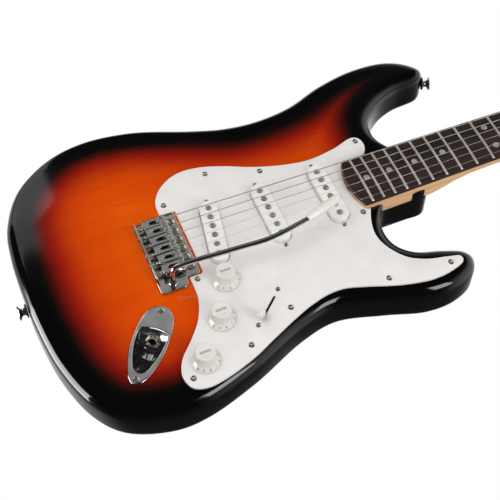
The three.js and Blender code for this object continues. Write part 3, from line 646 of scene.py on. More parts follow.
def plastic(name, color, roughness=0.22, tint=0.06, texture=0.03, coat=0.4):
    """Moulded or cut plastic: a faint mottle in the colour and a soft orange-peel in the surface."""
    material, tree, shader = nodes_of(name)
    darker = tuple(c * (1 - tint) for c in color)
    mottle = ramp(tree, noise(tree, 45, 4), [(0.3, darker), (0.7, color)])
    tree.links.new(mottle, shader.inputs["Base Color"])
    rough = wire_up(tree, "ShaderNodeMath", {0: noise(tree, 120, 3), 1: 0.12, 2: roughness - 0.06},
                    operation="MULTIPLY_ADD").outputs[0]
    tree.links.new(rough, shader.inputs["Roughness"])
    shader.inputs["Coat Weight"].default_value = coat
    shader.inputs["Coat Roughness"].default_value = 0.08
    shader.inputs["Subsurface Weight"].default_value = 0.0
    bump(tree, shader, noise(tree, 400, 2), texture, 0.2)
    return material


def metal(name, color, roughness, scratches=0.1, stretch=(1, 1, 1), texture=0.04):
    """Plated or bare metal: uneven gloss, fine scratches and a slight waviness."""
    material, tree, shader = nodes_of(name)
    tone = ramp(tree, noise(tree, 60, 4), [(0.3, tuple(c * 0.88 for c in color)), (0.7, color)])
    tree.links.new(tone, shader.inputs["Base Color"])
    shader.inputs["Metallic"].default_value = 1.0
    rough = wire_up(tree, "ShaderNodeMath",
                    {0: noise(tree, 500, 5, stretch), 1: scratches * 2, 2: roughness - scratches},
                    operation="MULTIPLY_ADD").outputs[0]
    tree.links.new(rough, shader.inputs["Roughness"])
    bump(tree, shader, noise(tree, 700, 3, stretch), texture, 0.1)
    return material


def timber(name, light, dark, pore, roughness, coat, pores=0.5, grain_scale=60):
    """Wood whose grain runs along X, with fine dark pores."""
    material, tree, shader = nodes_of(name)
    broad = noise(tree, grain_scale * 0.5, 5, stretch=(0.07, 1, 1), distortion=1.2)
    fine = noise(tree, grain_scale * 6, 5, stretch=(0.025, 1, 1))
    base = ramp(tree, broad, [(0.32, dark), (0.5, light), (0.68, tuple(c * 0.93 for c in light))])
    streaks = ramp(tree, fine, [(0.36, pore), (0.5, (255, 255, 255))])
    tree.links.new(mixed(tree, base, streaks, pores, "MULTIPLY"), shader.inputs["Base Color"])
    shader.inputs["Roughness"].default_value = roughness
    shader.inputs["Coat Weight"].default_value = coat
    shader.inputs["Coat Roughness"].default_value = 0.2
    bump(tree, shader, fine, 0.25, 0.12)
    return material


def wound_steel():
    """Steel wrap wire: close ridges round the string, which runs along X. The grooves between the ridges are
    painted darker as shade.
    """
    material, tree, shader = nodes_of("wound_string")
    coords = place_vector(tree, (1, 1, 1))
    inputs = {"Vector": coords, "Scale": 420.0, "Distortion": 0.0}
    ridges = wire_up(tree, "ShaderNodeTexWave", inputs, bands_direction="X",
                     wave_profile="SIN").outputs["Fac"]
    # Painted shade: the colour darkens in the grooves between the wraps, following the same wave as the bump.
    tone = ramp(tree, ridges, [(0.1, (120, 112, 100)), (0.6, (228, 220, 204))])
    tree.links.new(tone, shader.inputs["Base Color"])
    shader.inputs["Metallic"].default_value = 1.0
    shader.inputs["Roughness"].default_value = 0.32
    bump(tree, shader, ridges, 0.5, 0.1)
    return material


LACQUER = sunburst()
GUARD_WHITE = plastic("guard_white", (233, 229, 225), 0.3, 0.03)
PART_WHITE = plastic("part_white", (228, 224, 215), 0.26, 0.04)
COVER_WHITE = plastic("cover_white", (242, 239, 235), 0.34, 0.03)
NUMBER_INK = plastic("number_ink", (96, 88, 74), 0.5, 0.2)
NUT_BONE = plastic("nut_bone", (226, 218, 196), 0.3, 0.08)
COIL_BLACK = plastic("coil_black", (20, 20, 20), 0.5, 0.3)
DOT_PEARL = plastic("dot_pearl", (172, 170, 162), 0.2, 0.3)
FELT = plastic("felt_washer", (38, 36, 34), 0.95, 0.3, 0.6, 0.0)
# Near-black painted shade for the cut walls of the routes and pockets, where shadow falls.
SHADOW_BLACK = plastic("cavity_painted_shade", (14, 12, 11), 0.7, 0.3)
CHROME = metal("chrome", (214, 215, 216), 0.09, 0.04)
CAST_CHROME = metal("cast_chrome", (208, 209, 205), 0.14, 0.06, texture=0.08)
SCREW_METAL = metal("screw_metal", (222, 214, 200), 0.24, 0.08)
STEEL = metal("plain_steel", (168, 166, 160), 0.34, 0.12)
FRET_NICKEL = metal("fret_nickel", (236, 232, 224), 0.3, 0.08)
POLE_STEEL = metal("pole_steel", (205, 194, 178), 0.36, 0.1)
PLAIN_STRING = metal("plain_string", (232, 228, 220), 0.3, 0.08)
WOUND_STRING = wound_steel()
MAPLE = timber("maple", (250, 202, 148), (228, 174, 120), (214, 184, 150), 0.35, 0.5, 0.35)
ROSEWOOD = timber("rosewood", (50, 29, 24), (25, 14, 11), (58, 40, 33), 0.55, 0.04, 0.8, 90)


# ---------------------------------------------------------------- body

ROUND_OVER = 12
FOREARM_ROUND_OVER = 7
FOREARM_HINGE = (-120, 85)
FOREARM_HEADING = math.radians(9.6)
FOREARM_SLOPE = math.radians(10.7)
BELLY_CENTRE = (120, 150, -130.6)
BELLY_RADIUS = 150
CONTROL_BAY = [
    (18, -42), (9, -58), (-1, -79), (-4, -86), (-14, -99), (-29, -116), (-31, -130), (-20, -140), (0, -140),
    (28, -125), (58, -119), (84, -88), (80, -72), (48, -42),
]


def eased(depth, bend):
    """The depth where it is positive and nought elsewhere, with a smooth bend between."""
    middle_part = (depth + bend) ** 2 / (4 * bend)
    return np.where(depth > bend, depth, np.where(depth < -bend, 0.0, middle_part))


def forearm_depth(x, y):
    """How far the sloped forearm bevel lies below the flat top."""
    along_x = x - FOREARM_HINGE[0]
    along_y = y - FOREARM_HINGE[1]
    across = along_y * math.cos(FOREARM_HEADING) - along_x * math.sin(FOREARM_HEADING)
    return eased(across * math.tan(FOREARM_SLOPE), 1.5)


def top_face(x, y):
    return TOP - forearm_depth(x, y)


def back_face(x, y):
    """The flat back with the belly cut's shallow dish."""
    reach = BELLY_RADIUS ** 2 - (x - BELLY_CENTRE[0]) ** 2 - (y - BELLY_CENTRE[1]) ** 2
    return BACK + eased(BELLY_CENTRE[2] + np.sqrt(np.maximum(reach, 0)) - BACK, 3.0)


def smoothstep(value, start, end):
    t = np.clip((value - start) / (end - start), 0, 1)
    return t * t * (3 - 2 * t)


def round_over_limits(loop, wanted):
    """The wanted radii, less where the outline bends too tightly for them."""
    reach = 4
    before, after = np.roll(loop, reach, axis=0), np.roll(loop, -reach, axis=0)
    ab, bc, ac = loop - before, after - loop, after - before
    cross = ab[:, 0] * bc[:, 1] - ab[:, 1] * bc[:, 0]
    sides = np.linalg.norm(ab, axis=1) * np.linalg.norm(bc, axis=1) * np.linalg.norm(ac, axis=1)
    bend = np.where(cross > 1e-6, sides / (2 * np.maximum(cross, 1e-6)), 1e6)
    limit = np.minimum(wanted, 0.7 * bend)
    return sum(np.roll(limit, k) for k in range(-4, 5)) / 9


def body_shape():
    loop = ccw(catmull(BODY_KNOTS, 3, True))
    x, y = loop[:, 0], loop[:, 1]
    normals = inward(loop)
    free = 3 + (ROUND_OVER - 3) * smoothstep(np.abs(y), 34, 64)
    nominal = np.where(x < 180, ROUND_OVER, free)
    bevelled = smoothstep(forearm_depth(x, y), 0, 10)
    upper = nominal + (FOREARM_ROUND_OVER - ROUND_OVER) * bevelled
    rings = []
    for face, side, rise in ((back_face, 1, nominal), (top_face, -1, upper)):
        inset = round_over_limits(loop, rise)
        edge = []
        for turn in np.linspace(0, math.pi / 2, 10):
            px = x + normals[:, 0] * inset * (1 - math.cos(turn))
            py = y + normals[:, 1] * inset * (1 - math.cos(turn))
            edge.append(np.stack([px, py, face(px, py) + side * rise * (1 - math.sin(turn))], axis=1))
        rings += edge[::-side]
    spacing = 5
    return merged(
        skin(rings, closed_ends=False),
        fill([rings[0][:, :2]], lambda x, y: float(back_face(x, y)), spacing),
        fill([rings[-1][:, :2]], lambda x, y: float(top_face(x, y)), spacing),
    )


def neck_plan(end, grow):
    """The neck's outline from its arched butt to `end`, grown all round."""
    ys = np.linspace(1, -1, 41) * (BUTT_HALF_WIDTH + grow)
    arc = [(BUTT_X + BUTT_RADIUS - math.sqrt(BUTT_RADIUS ** 2 - y * y) - grow, y) for y in ys]
    half = neck_half_width(end) + grow
    return np.array(arc + [(end, -half), (end, half)])


def prism(loop, z0, z1):
    return sheet(loop, [], z0, z1)


def jack_place(scale=1.0):
    """The jack plate's outline in its own frame."""
    half = catmull(JACK_PLATE_KNOTS, 1.5, False) * scale
    return np.concatenate([half, half[-2:0:-1] * (1, -1)])


def edge_distance(mesh):
    """Stores each point's plan distance from the body's edge."""
    rim = catmull(BODY_KNOTS, 1, True)
    tree = KDTree(len(rim))
    for k, (x, y) in enumerate(rim):
        tree.insert((x, y, 0), k)
    tree.balance()
    values = []
    for vertex in mesh.vertices:
        values.append(tree.find((vertex.co.x / MM, vertex.co.y / MM, 0))[2])
    mesh.attributes.new("edge", "FLOAT", "POINT").data.foreach_set("value", values)


def body():
    shell = build("body_shell", body_shape(), LACQUER, replaces=["body"])
    above = TOP + 6
    bays = [prism(turned_2d(rectangle(-12.5, 12.5, -45, 45, 6), PICKUPS[name], PICKUP_X[name], 0), TOP - 17,
                  above)
            for name in PICKUPS]
    jack_bay = turned_2d(jack_place(0.93), JACK_ANGLE, JACK_AT.x, JACK_AT.y)
    # The cut walls of the neck pocket, pickup routes, jack bay, tremolo route and control bay take
    # SHADOW_BLACK, which is painted shade in these recesses.
    carve(
        shell,
        merged(
            prism(neck_plan(270, 0.35), HEEL_BACK, above),
            prism(rectangle(-27, -2.2, -44.6, 33.5, 4), -5, above),
            prism(jack_bay, TOP - 35, above),
            *bays,
        ),
        merged(
            prism(rectangle(-27, 104, -29, 29, 6), -5, BACK + 16),
            prism(CONTROL_BAY, TOP - 38, above),
        ),
        material=SHADOW_BLACK,
    )
    edge_distance(shell.data)


def back_plates():
    slot = rectangle(-19, -6, -31, 31, 4)
    cover = sheet(rectangle(-40, 112, -48, 48, 8), [slot], 0, BACK, 0.0, 0.5)
    build("back_cover_sheet", cover, GUARD_WHITE, replaces=["back_cover"])
    spots = [(-34, -42), (-34, 42), (36, -42), (36, 42), (106, -42), (106, 42)]
    screws("back_cover_screws", [((x, y, 0.15), (x, y, -9)) for x, y in spots], 2.7, 0.1, 0.8, 8)
    plate = sheet(rectangle(186, 250, -25.5, 25.5, 4), [], 0, BACK, 0.0, 0.6)
    build("neck_plate_sheet", plate, CHROME, replaces=["neck_plate"])
    spots = [(194, -17.5), (194, 17.5), (242, -17.5), (242, 17.5)]
    screws("neck_bolts", [((x, y, 0.2), (x, y, -9)) for x, y in spots], 4.2, 0.4, 1.1, 20)


def screws(name, places, radius, rim, dome, shank, body_name="root", material=None, recess="cross"):
    """A set of screws, each from where its head sits towards where the head faces."""
    heads = []
    for seat, facing in places:
        spin = Matrix.Rotation(dice.uniform(0, math.tau), 4, "Z")
        heads.append(moved(screw(radius, rim, dome, shank, recess), aimed(seat, facing) @ spin))
    return build(name, merged(*heads), material or SCREW_METAL, body_name)


# ---------------------------------------------------------------- pickguard

def guard_outline():
    neck_end = neck_plan(205.5, 0.5)[:-2][::-1]
    treble = catmull(GUARD_TREBLE_KNOTS, 2, False)
    bass = catmull(GUARD_BASS_KNOTS, 2, False)
    return np.concatenate([treble, neck_end, bass, GUARD_NOTCH[::-1]])


def pickguard():
    openings = [stadium(PICKUP_X[n], 0, 70.9, 18.9, math.pi / 2 + PICKUPS[n]) for n in PICKUPS]
    openings.append(stadium(SWITCH_AT.x, SWITCH_AT.y, 27, 2.2, SWITCH_ANGLE, 8))
    openings += [circle(middle(n).x, middle(n).y, 5) for n in KNOBS]
    plate = sheet(guard_outline(), openings, TOP, GUARD_TOP, 0.7, steps=2)
    build("pickguard_sheet", plate, GUARD_WHITE, replaces=["pickguard"])
    up = 10
    seats = [((x, y, GUARD_TOP + 0.05), (x, y, GUARD_TOP + up)) for x, y in GUARD_SCREWS]
    screws("pickguard_screws", seats, 2.9, 0.15, 0.85, 9)
    ends = turned_2d([(20.95, 0), (-20.95, 0)], SWITCH_ANGLE, SWITCH_AT.x, SWITCH_AT.y)
    screws("switch_screws", [((x, y, GUARD_TOP + 0.05), (x, y, GUARD_TOP + up)) for x, y in ends], 2.6, 0.2,
           1.0, 7)


# ---------------------------------------------------------------- pickups

def pickup(name):
    slant = PICKUPS[name]
    place = at(PICKUP_X[name], 0, 0, slant)
    rides = f"{name}_pickup"
    poles = [(0, string_bridge_y(i)) for i in range(6)]
    holes = [circle(x, y, 2.62, 24) for x, y in poles]
    shell = sheet(stadium(0, 0, 70, 18, math.pi / 2, 20), holes, COVER_TOP - 14.8, COVER_TOP, 1.5, steps=5)
    build(f"{rides}_shell", moved(shell, place), COVER_WHITE, rides, [f"{rides}_cover"])
    lift = [-0.5, -0.2, 0.0, -0.1, -0.7, -0.4]
    magnets = []
    for (x, y), drop in zip(poles, lift):
        top = POLE_TOP + drop
        profile = [(0, COVER_TOP - 20), (2.4, COVER_TOP - 20), (2.4, top - 0.35), (2.05, top), (0, top)]
        magnets.append(moved(lathe(profile, 28), place @ at(x, y)))
    build(f"{rides}_poles", merged(*magnets), POLE_STEEL, rides, [f"{rides}_coil"])
    base = COVER_TOP - 21.3
    holes = [circle(0, y, 1.5) for y in (38.1, -38.1)]
    bobbin = merged(
        sheet(stadium(0, 0, 86, 20, math.pi / 2), holes, base, base + 1.6),
        prism(stadium(0, 0, 63, 13, math.pi / 2), base + 1.6, COVER_TOP - 16),
    )
    build(f"{rides}_bobbin", moved(bobbin, place), COIL_BLACK, rides)
    seats = []
    for y in (38.1, -38.1):
        seat = place @ Vector((0, y, GUARD_TOP + 0.05))
        seats.append((seat, seat + Vector((0, 0, 10))))
    screws(f"{rides}_screws", seats, 2.4, 0.3, 1.1, 20)


# ---------------------------------------------------------------- knobs and switch

def lettering(text, size):
    """Flat text about the origin, from Blender's own font."""
    curve = bpy.data.curves.new("lettering", "FONT")
    curve.body = text
    curve.size = size * MM
    curve.align_x = "CENTER"
    curve.align_y = "CENTER"
    curve.resolution_u = 4
    obj = bpy.data.objects.new("lettering", curve)
    bpy.context.scene.collection.objects.link(obj)
    bpy.context.view_layer.update()
    mesh = bpy.data.meshes.new_from_object(obj.evaluated_get(bpy.context.evaluated_depsgraph_get()))
    points = [(v.co.x / MM, v.co.y / MM, 0.0) for v in mesh.vertices]
    faces = [tuple(p.vertices) for p in mesh.polygons]
    bpy.data.objects.remove(obj)
    bpy.data.meshes.remove(mesh)
    return points, faces


def on_skirt(turn, radius, z, lift=0.04):
    """Carries flat text onto the knob's sloping skirt, reading from outside."""
    side = Vector((-math.sin(turn), math.cos(turn), 0))
    out = Vector((math.cos(turn), math.sin(turn), 0))
    up = -0.6 * out + Vector((0, 0, 0.8))
    face = 0.8 * out + Vector((0, 0, 0.6))
    spot = out * radius + Vector((0, 0, z)) + face * lift
    return Matrix((
        (side.x, up.x, face.x, spot.x), (side.y, up.y, face.y, spot.y), (side.z, up.z, face.z, spot.z),
        (0, 0, 0, 1),
    ))


def knob(node, body_name):
    centre = middle(node)
    skirt = GUARD_TOP + 0.6
    place = at(centre.x, centre.y, skirt)
    profile = [
        (0, -10), (2.9, -10), (2.9, 4), (9.4, 4), (11.6, 0), (12.7, 0), (13, 0.3), (13, 1.0), (12.8, 1.4),
        (10.75, 4.2), (10.2, 4.9), (9.9, 5.3, 0.0), (9.75, 5.9, 0.32), (9.1, 13.6, 0.32), (8.95, 14.6, 0.1),
        (8.75, 15.3), (8.35, 15.85), (7.7, 16.1), (7.2, 16.1), (6.9, 15.95), (0, 15.95),
    ]
    shape = moved(lathe(profile, 168, ribs=42), place)
    build(f"{node}_moulding", shape, PART_WHITE, body_name, [node], math.radians(28))
    marks = []
    for number in range(1, 11):
        turn = math.radians(150 - 30 * number)
        marks.append(moved(lettering(str(number), 3.3), place @ on_skirt(turn, 11.75, 2.87)))
    for dash in range(6):
        bar = rectangle(-4.6 + 1.7 * dash, -3.9 + 1.7 * dash, -1.3, 1.3, 0.2)
        marks.append(moved(fill([bar], lambda x, y: 16.0), place))
    build(f"{node}_numbers", merged(*marks), NUMBER_INK, body_name)


def switch():
    lean = math.radians(25)
    lever_top = 36
    tilt = at(SWITCH_AT.x, SWITCH_AT.y, GUARD_TOP - 22, SWITCH_ANGLE) @ Matrix.Rotation(-lean, 4, "Y")
    lever = block(-2.6, 2.6, -0.6, 0.6, -3, lever_top, 0.25, 0.2)
    build("switch_lever_blade", moved(lever, tilt), STEEL, "pickup_selector", ["switch_lever"])
    sections = [
        (3.6, 2.1, 0), (4.15, 2.6, 0.4), (4.3, 2.8, 1.2), (4.8, 3.2, 5), (4.75, 3.2, 8), (4.6, 3.0, 10.6),
        (4.2, 2.7, 11.8), (3.4, 2.1, 12.7), (2.0, 1.2, 13.1), (0.6, 0.4, 13.2),
    ]
    rings = []
    for long, short, z in sections:
        turn = np.linspace(0, math.tau, 40, endpoint=False)
        rings.append([
            (long * math.copysign(abs(math.cos(t)) ** 0.8, math.cos(t)),
             short * math.copysign(abs(math.sin(t)) ** 0.8, math.sin(t)), lever_top - 5.7 + z) for t in turn
        ])
    build("switch_tip_moulding", moved(skin(rings), tilt), PART_WHITE, "pickup_selector", ["switch_tip"])
    machine("switch_body", 0.4, STEEL)
    for pot in ("volume_pot", "tone_pot_1", "tone_pot_2"):
        machine(pot, 0.3, STEEL)


# ---------------------------------------------------------------- jack

PLATE_LIFT = 1.5
CUP_EDGE = -14.5
CUP_BULGE = 2.7
CUP_END = 29.3
CUP_SLOPE = math.radians(56)
CUP_DEPTH = 19
CUP_RAMP = 24
JACK_DEPTH = 10
CUP_WIDTHS = [
    (-14.5, 12.9), (-11, 13.9), (-6, 13.8), (0, 13.3), (6, 12.4), (12.5, 11.1), (19, 9.1), (24, 7.2),
    (27, 5.2),
    (28.6, 3), (29.3, 0.01),
]


def cup_half_width(u):
    return float(np.interp(u, [w[0] for w in CUP_WIDTHS], [w[1] for w in CUP_WIDTHS]))


def cup_depth(u, v, t):
    """A steep wall that holds the jack, meeting a round bowl that rises in a long ramp, with a narrow bend
    between them. t is -1 and 1 at the cup's two sides."""
    edge = CUP_EDGE - CUP_BULGE * (1 - min(1.0, abs(v) / CUP_WIDTHS[0][1]) ** 2)
    wall = max(0.0, u - edge) * math.tan(CUP_SLOPE)
    bowl = CUP_DEPTH * min(1.0, max(0.0, CUP_END - u) / CUP_RAMP) ** 0.9 * math.sqrt(max(0.0, 1 - t * t))
    bend = 0.3
    return max(0.0, -bend * math.log(math.exp(-wall / bend) + math.exp(-bowl / bend)))


def jack_plate():
    top = TOP + PLATE_LIFT
    lip = 0.7
    ts = np.sin(np.linspace(-math.pi / 2, math.pi / 2, 49))
    rows = []
    for share in np.linspace(0, 1, 90):
        u0 = CUP_EDGE + (CUP_END - CUP_EDGE) * share ** 1.2
        half = cup_half_width(u0)
        row = []
        for t in ts:
            u = u0 - CUP_BULGE * (1 - t * t) * (1 - share) ** 6
            row.append((u, half * t, top - lip - cup_depth(u, half * t, t)))
        rows.append(row)
    count = len(ts)
    cup_points = [p for row in rows for p in row]
    cup_faces = [
        (r * count + c, r * count + c + 1, (r + 1) * count + c + 1, (r + 1) * count + c)
        for r in range(len(rows) - 1) for c in range(count - 1)
    ]
    mouth = [row[-1] for row in rows] + [row[0] for row in reversed(rows[1:])] + rows[0][:-1]
    mouth = np.array(mouth)[:, :2]
    out = -inward(mouth) * math.copysign(1, signed_area(mouth))
    lip_rings = []
    for turn in np.linspace(0, math.pi / 2, 5):
        grown = mouth + out * lip * (1 - math.cos(turn))
        lip_rings.append([(x, y, top - lip * (1 - math.sin(turn))) for x, y in grown])
    outer = ccw(jack_place())
    normals = inward(outer)
    edge_rings = []
    for turn in np.linspace(0, math.pi / 2, 4):
        inset = outer + normals * 0.8 * (1 - math.cos(turn))
        edge_rings.append([(x, y, top - 0.8 * (1 - math.sin(turn))) for x, y in inset])
    flat = fill([np.array(edge_rings[-1])[:, :2], np.array(lip_rings[-1])[:, :2]], lambda x, y: top)
    wall = skin([[(x, y, TOP) for x, y in outer]] + edge_rings, closed_ends=False)
    shape = merged((cup_points, cup_faces), skin(lip_rings, closed_ends=False), flat, wall)
    place = at(JACK_AT.x, JACK_AT.y, 0, JACK_ANGLE)
    plate = build("jack_plate_cup", moved(shape, place), CHROME, replaces=["jack_plate"])
    thick = plate.modifiers.new("thick", "SOLIDIFY")
    thick.thickness = 1.0 * MM
    thick.offset = -1
    axis = Vector((math.sin(CUP_SLOPE), 0, math.cos(CUP_SLOPE)))
    seat = Vector((CUP_EDGE - CUP_BULGE + JACK_DEPTH / math.tan(CUP_SLOPE), 0, top - lip - JACK_DEPTH))
    drill = moved(lathe([(0, -12), (5.2, -12), (5.2, 4), (0, 4)], 40), aimed(seat, seat + axis))
    carve(plate, moved(drill, place))
    along = place @ aimed(seat, seat + axis)
    hexagon = circle(0, 0, 6.9, 6)
    nut = sheet(filleted([(x, y, 0.6) for x, y in hexagon]), [circle(0, 0, 4.5, 40)], 0.6, 3.1, 0.9)
    washer = sheet(circle(0, 0, 7.2, 48), [circle(0, 0, 4.6, 40)], 0.1, 0.7, 0.2)
    sleeve = lathe([(3.2, -16), (4.7, -16), (4.7, 3.6), (4.4, 4), (3.5, 4), (3.2, 3.7), (3.2, -16)], 40)
    build("jack_nut", moved(merged(nut, washer, sleeve), along), SCREW_METAL, replaces=["output_jack"])
    frame_tube = lathe([(3.2, -19), (6.4, -19), (6.4, -9), (3.3, -9), (3.2, -19)], 32)
    build("jack_frame", moved(frame_tube, along), STEEL)
    ends = turned_2d([(36, 0), (-36, 0)], JACK_ANGLE, JACK_AT.x, JACK_AT.y)
    screws("jack_plate_screws", [((x, y, top + 0.02), (x, y, top + 9)) for x, y in ends], 3.0, 0.2, 1.0, 14)


# ---------------------------------------------------------------- bridge

def bridge():
    outline = filleted([
        (-28, -46, 3), (-0.6, -46, 5), (-0.6, -36.4, 0.8), (13.2, -36.4, 2.2), (13.2, 37.8, 2.2),
        (-1, 37.8, 1.6),
        (-1, 35.8, 0.8), (-28, 35.8, 2.5),
    ])
    rows = range(6)
    holes = [circle(PIVOT_X, string_bridge_y(i), 2.2, 20) for i in rows]
    holes += [circle(STRING_HOLE_X, string_bridge_y(i), 2.4, 20) for i in rows]
    holes.append(circle(ARM_POST.x, ARM_POST.y, 3.3, 28))
    plate = sheet(outline, holes, PLATE_BASE, PLATE_TOP, 0.7)
    lip = sheet(
        filleted([(-33, PLATE_BASE + 0.3, 0.2), (35, PLATE_BASE + 0.3, 0.2), (35, LIP_TOP, 1.8),
                  (-33, LIP_TOP, 1.8)]),
        [circle(string_bridge_y(i), ADJUSTER_Z, 1.6, 20) for i in rows], 0, 1.8, 0.5, 0.5,
    )
    stand = Matrix(((0, 0, 1, -28), (1, 0, 0, 0), (0, 1, 0, 0), (0, 0, 0, 1)))
    build("bridge_plate_casting", merged(plate, moved(lip, stand)), CAST_CHROME, "bridge",
          ["bridge_plate"])
    machine("tremolo_block", 0.8, STEEL)
    pivots = [((PIVOT_X, string_bridge_y(i), PLATE_TOP + PIVOT_SCREW_LIFT),
               (PIVOT_X, string_bridge_y(i), 90)) for i in rows]
    screws("pivot_screws", pivots, 3.9, 0.5, 1.3, 24)
    adjusters = [((-28.05, string_bridge_y(i), ADJUSTER_Z), (-60, string_bridge_y(i), ADJUSTER_Z))
                 for i in rows]
    screws("intonation_screws", adjusters, 2.5, 1.1, 0.7, 17, "bridge")
    collar = lathe([(2.7, 0), (4.4, 0), (4.4, 1.2), (3.9, 1.8), (3.0, 1.8), (2.7, 1.5), (2.7, 0)], 36)
    build("arm_collar", moved(collar, at(ARM_POST.x, ARM_POST.y, PLATE_TOP)), SCREW_METAL, "bridge")


SADDLE_FOOT_X = -1.6
SADDLE_FOOT_SPREAD = 3.45


def saddle(i):
    y = string_bridge_y(i)
    crest = saddle_crest(i)
    base = crest - 8
    rides = f"saddle_body_{i + 1}"
    slot_hole = stadium(-9.4, y, 10, 2.7, math.radians(-3), 10)
    feet = [(SADDLE_FOOT_X, y + side * SADDLE_FOOT_SPREAD) for side in (-1, 1)]
    sockets = [circle(x, fy, 1.35, 20) for x, fy in feet]
    shape = sheet(rectangle(-20, 2, y - 5.0, y + 5.0, 0.9), [slot_hole] + sockets, base, crest, 0.55, 0.3)
    build(f"saddle_{i + 1}_block", shape, CAST_CHROME, rides, [f"saddle_{i + 1}"])
    grubs = [((x, fy, crest - 0.7), (x, fy, crest + 9)) for x, fy in feet]
    length = crest - 0.7 - PLATE_TOP
    screws(f"saddle_{i + 1}_grubs", grubs, 1.3, 0.1, 0.05, 0.1, rides, STEEL, "hexagon")
    legs = [moved(lathe([(0, 0), (0.7, 0), (1.2, 0.6), (1.2, length), (0, length)], 16),
                  at(x, fy, PLATE_TOP + 0.05))
            for x, fy in feet]
    build(f"saddle_{i + 1}_legs", merged(*legs), STEEL, rides)
    start = (-26.1, y, ADJUSTER_Z)
    end = (-20.05, y, ADJUSTER_Z)
    spring = build(f"saddle_{i + 1}_spring", coil(start, end, 2.05, 0.32, 5), SCREW_METAL, None)
    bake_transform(spring)


ARM_PATH = [
    (-14, -38, 20), (-14, -38, 40), (-14, -38, 58), (-14, -38, 66), (-12.3, -38, 70.6), (-8, -38.1, 73),
    (3.5, -38.5, 74), (28, -40.6, 75.2), (53, -43, 76.8), (74, -44.8, 78), (93, -43.5, 79.2),
    (118.5, -39.6, 80.7),
]
ARM_TIP = (Vector((117.4, -39.7, 80.7)), Vector((154.5, -28.9, 82.4)))


def tremolo_arm():
    build("tremolo_arm_bar", sweep(catmull(ARM_PATH, 2, False), 2.5, 28), CHROME, "arm", ["tremolo_arm"])
    start, end = ARM_TIP
    run = (end - start).length
    profile = [
        (0, 0), (2.9, 0), (3.4, 0.5), (3.8, 3), (4.15, 6), (4.5, 14), (4.6, 22), (4.5, 29), (4.1, 34),
        (3.4, 36.8),
        (2.2, run - 0.5), (1.0, run - 0.1), (0, run),
    ]
    build("arm_tip_moulding", moved(lathe(profile, 40), aimed(start, end)), PART_WHITE, "arm", ["arm_tip"])


SPRING_Z = 10.6
SPRING_ROWS = (-21, 0, 21)


def tremolo_springs():
    """Three coils between the block and the claw."""
    for k, y in enumerate(SPRING_ROWS):
        turns = coil((5, y, SPRING_Z), (83, y, SPRING_Z), 3.4, 0.5, 34)
        hooks = [sweep([(-4.9, y, SPRING_Z), (3, y, SPRING_Z), (5, y + 1, SPRING_Z),
                        (5.2, y + 3.4, SPRING_Z)], 0.5, 8),
                 sweep([(94.4, y, SPRING_Z), (86, y, SPRING_Z), (83.4, y + 1, SPRING_Z),
                        (83, y + 3.4, SPRING_Z)], 0.5, 8)]
        spring = build(f"tremolo_spring_{k + 1}_coil", merged(turns, *hooks), STEEL, None,
                       [f"tremolo_spring_{k + 1}"])
        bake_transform(spring)
    machine("spring_claw", 0.3, STEEL)


# ---------------------------------------------------------------- neck

NECK_STATIONS = [
    (190, 0, 14), (256, 0, 14), (262, 0.15, 11), (268, 0.4, 7), (282, 1.3, 3.6), (300, 2.2, 2.6),
    (330, 2.5, 2.4),
    (460, 3.3, 2.3), (610, 4.4, 2.3), (625, 4.4, 2.35), (636, 4, 2.5), (644, 3.2, 2.9), (650, 2.2, 3.4),
    (656, 1, 5), (663, 0.3, 8), (671, 0, 14), (676, 0, 14),
]
NECK_FALL = [(650, 0), (653, 0.3), (656, 1.0), (659.5, 2.4), (663, 4.0), (667, 5.5), (671, 6.15), (676, 6.6)]


def section_ring(x, top, bottom, arched_end=False):
    """A ring of points over the top from bass to treble and back underneath, as two matching rows."""
    over = [(x, y, z) for y, z in top]
    under = [(x, y, z) for y, z in reversed(bottom)]
    ring = over + under
    if arched_end:
        ring = [(BUTT_X + BUTT_RADIUS - math.sqrt(BUTT_RADIUS ** 2 - y * y), y, z) for _, y, z in ring]
    return ring


def bar(rings):
    """A skin over rings made of two matching rows, closed at both ends by strips between the rows."""
    count = len(rings[0])
    row = count // 2
    verts, faces = skin(rings, closed_ends=False)
    for start in (0, (len(rings) - 1) * count):
        for k in range(row - 1):
            faces.append((start + k, start + k + 1, start + count - 2 - k, start + count - 1 - k))
    return verts, faces


def neck_ring(x, arched_end=False):
    stations = np.array(NECK_STATIONS)
    rise = float(np.interp(x, stations[:, 0], stations[:, 1]))
    power = float(np.interp(x, stations[:, 0], stations[:, 2]))
    fall = float(np.interp(x, [f[0] for f in NECK_FALL], [f[1] for f in NECK_FALL]))
    half = neck_half_width(min(x, SCALE + 4))
    top, bottom = NECK_TOP - fall, HEEL_BACK + rise
    over, under = [], []
    for k in range(41):
        turn = math.pi * k / 40
        y = half * math.copysign(abs(math.cos(turn)) ** (2 / power), math.cos(turn))
        over.append((y, top))
        under.append((y, top - (top - bottom) * abs(math.sin(turn)) ** (2 / power)))
    return section_ring(x, over, under, arched_end)


def neck():
    xs = list(np.arange(190, 255, 8)) + list(np.arange(256, 300, 3)) + list(np.arange(300, 610, 10))
    xs += list(np.arange(610, 676.5, 1.5))
    rings = [neck_ring(190, True)] + [neck_ring(x) for x in xs]
    shaft = build("neck_shaft", bar(rings), MAPLE, replaces=["neck"])
    carve(shaft, prism(rectangle(150, 632, -3, 3, 1), HEEL_BACK + 12.3, 80))
    holes = [circle(p.x, p.y, POST_RADIUS + 0.6, 28) for p in POSTS]
    outline = catmull(HEADSTOCK_KNOTS, 2, True)
    head = sheet(outline, holes, HEEL_BACK, HEADSTOCK_TOP, 1.4, 1.4, steps=4)
    build("headstock", head, MAPLE)
    machine("truss_rod", 0.3, STEEL)


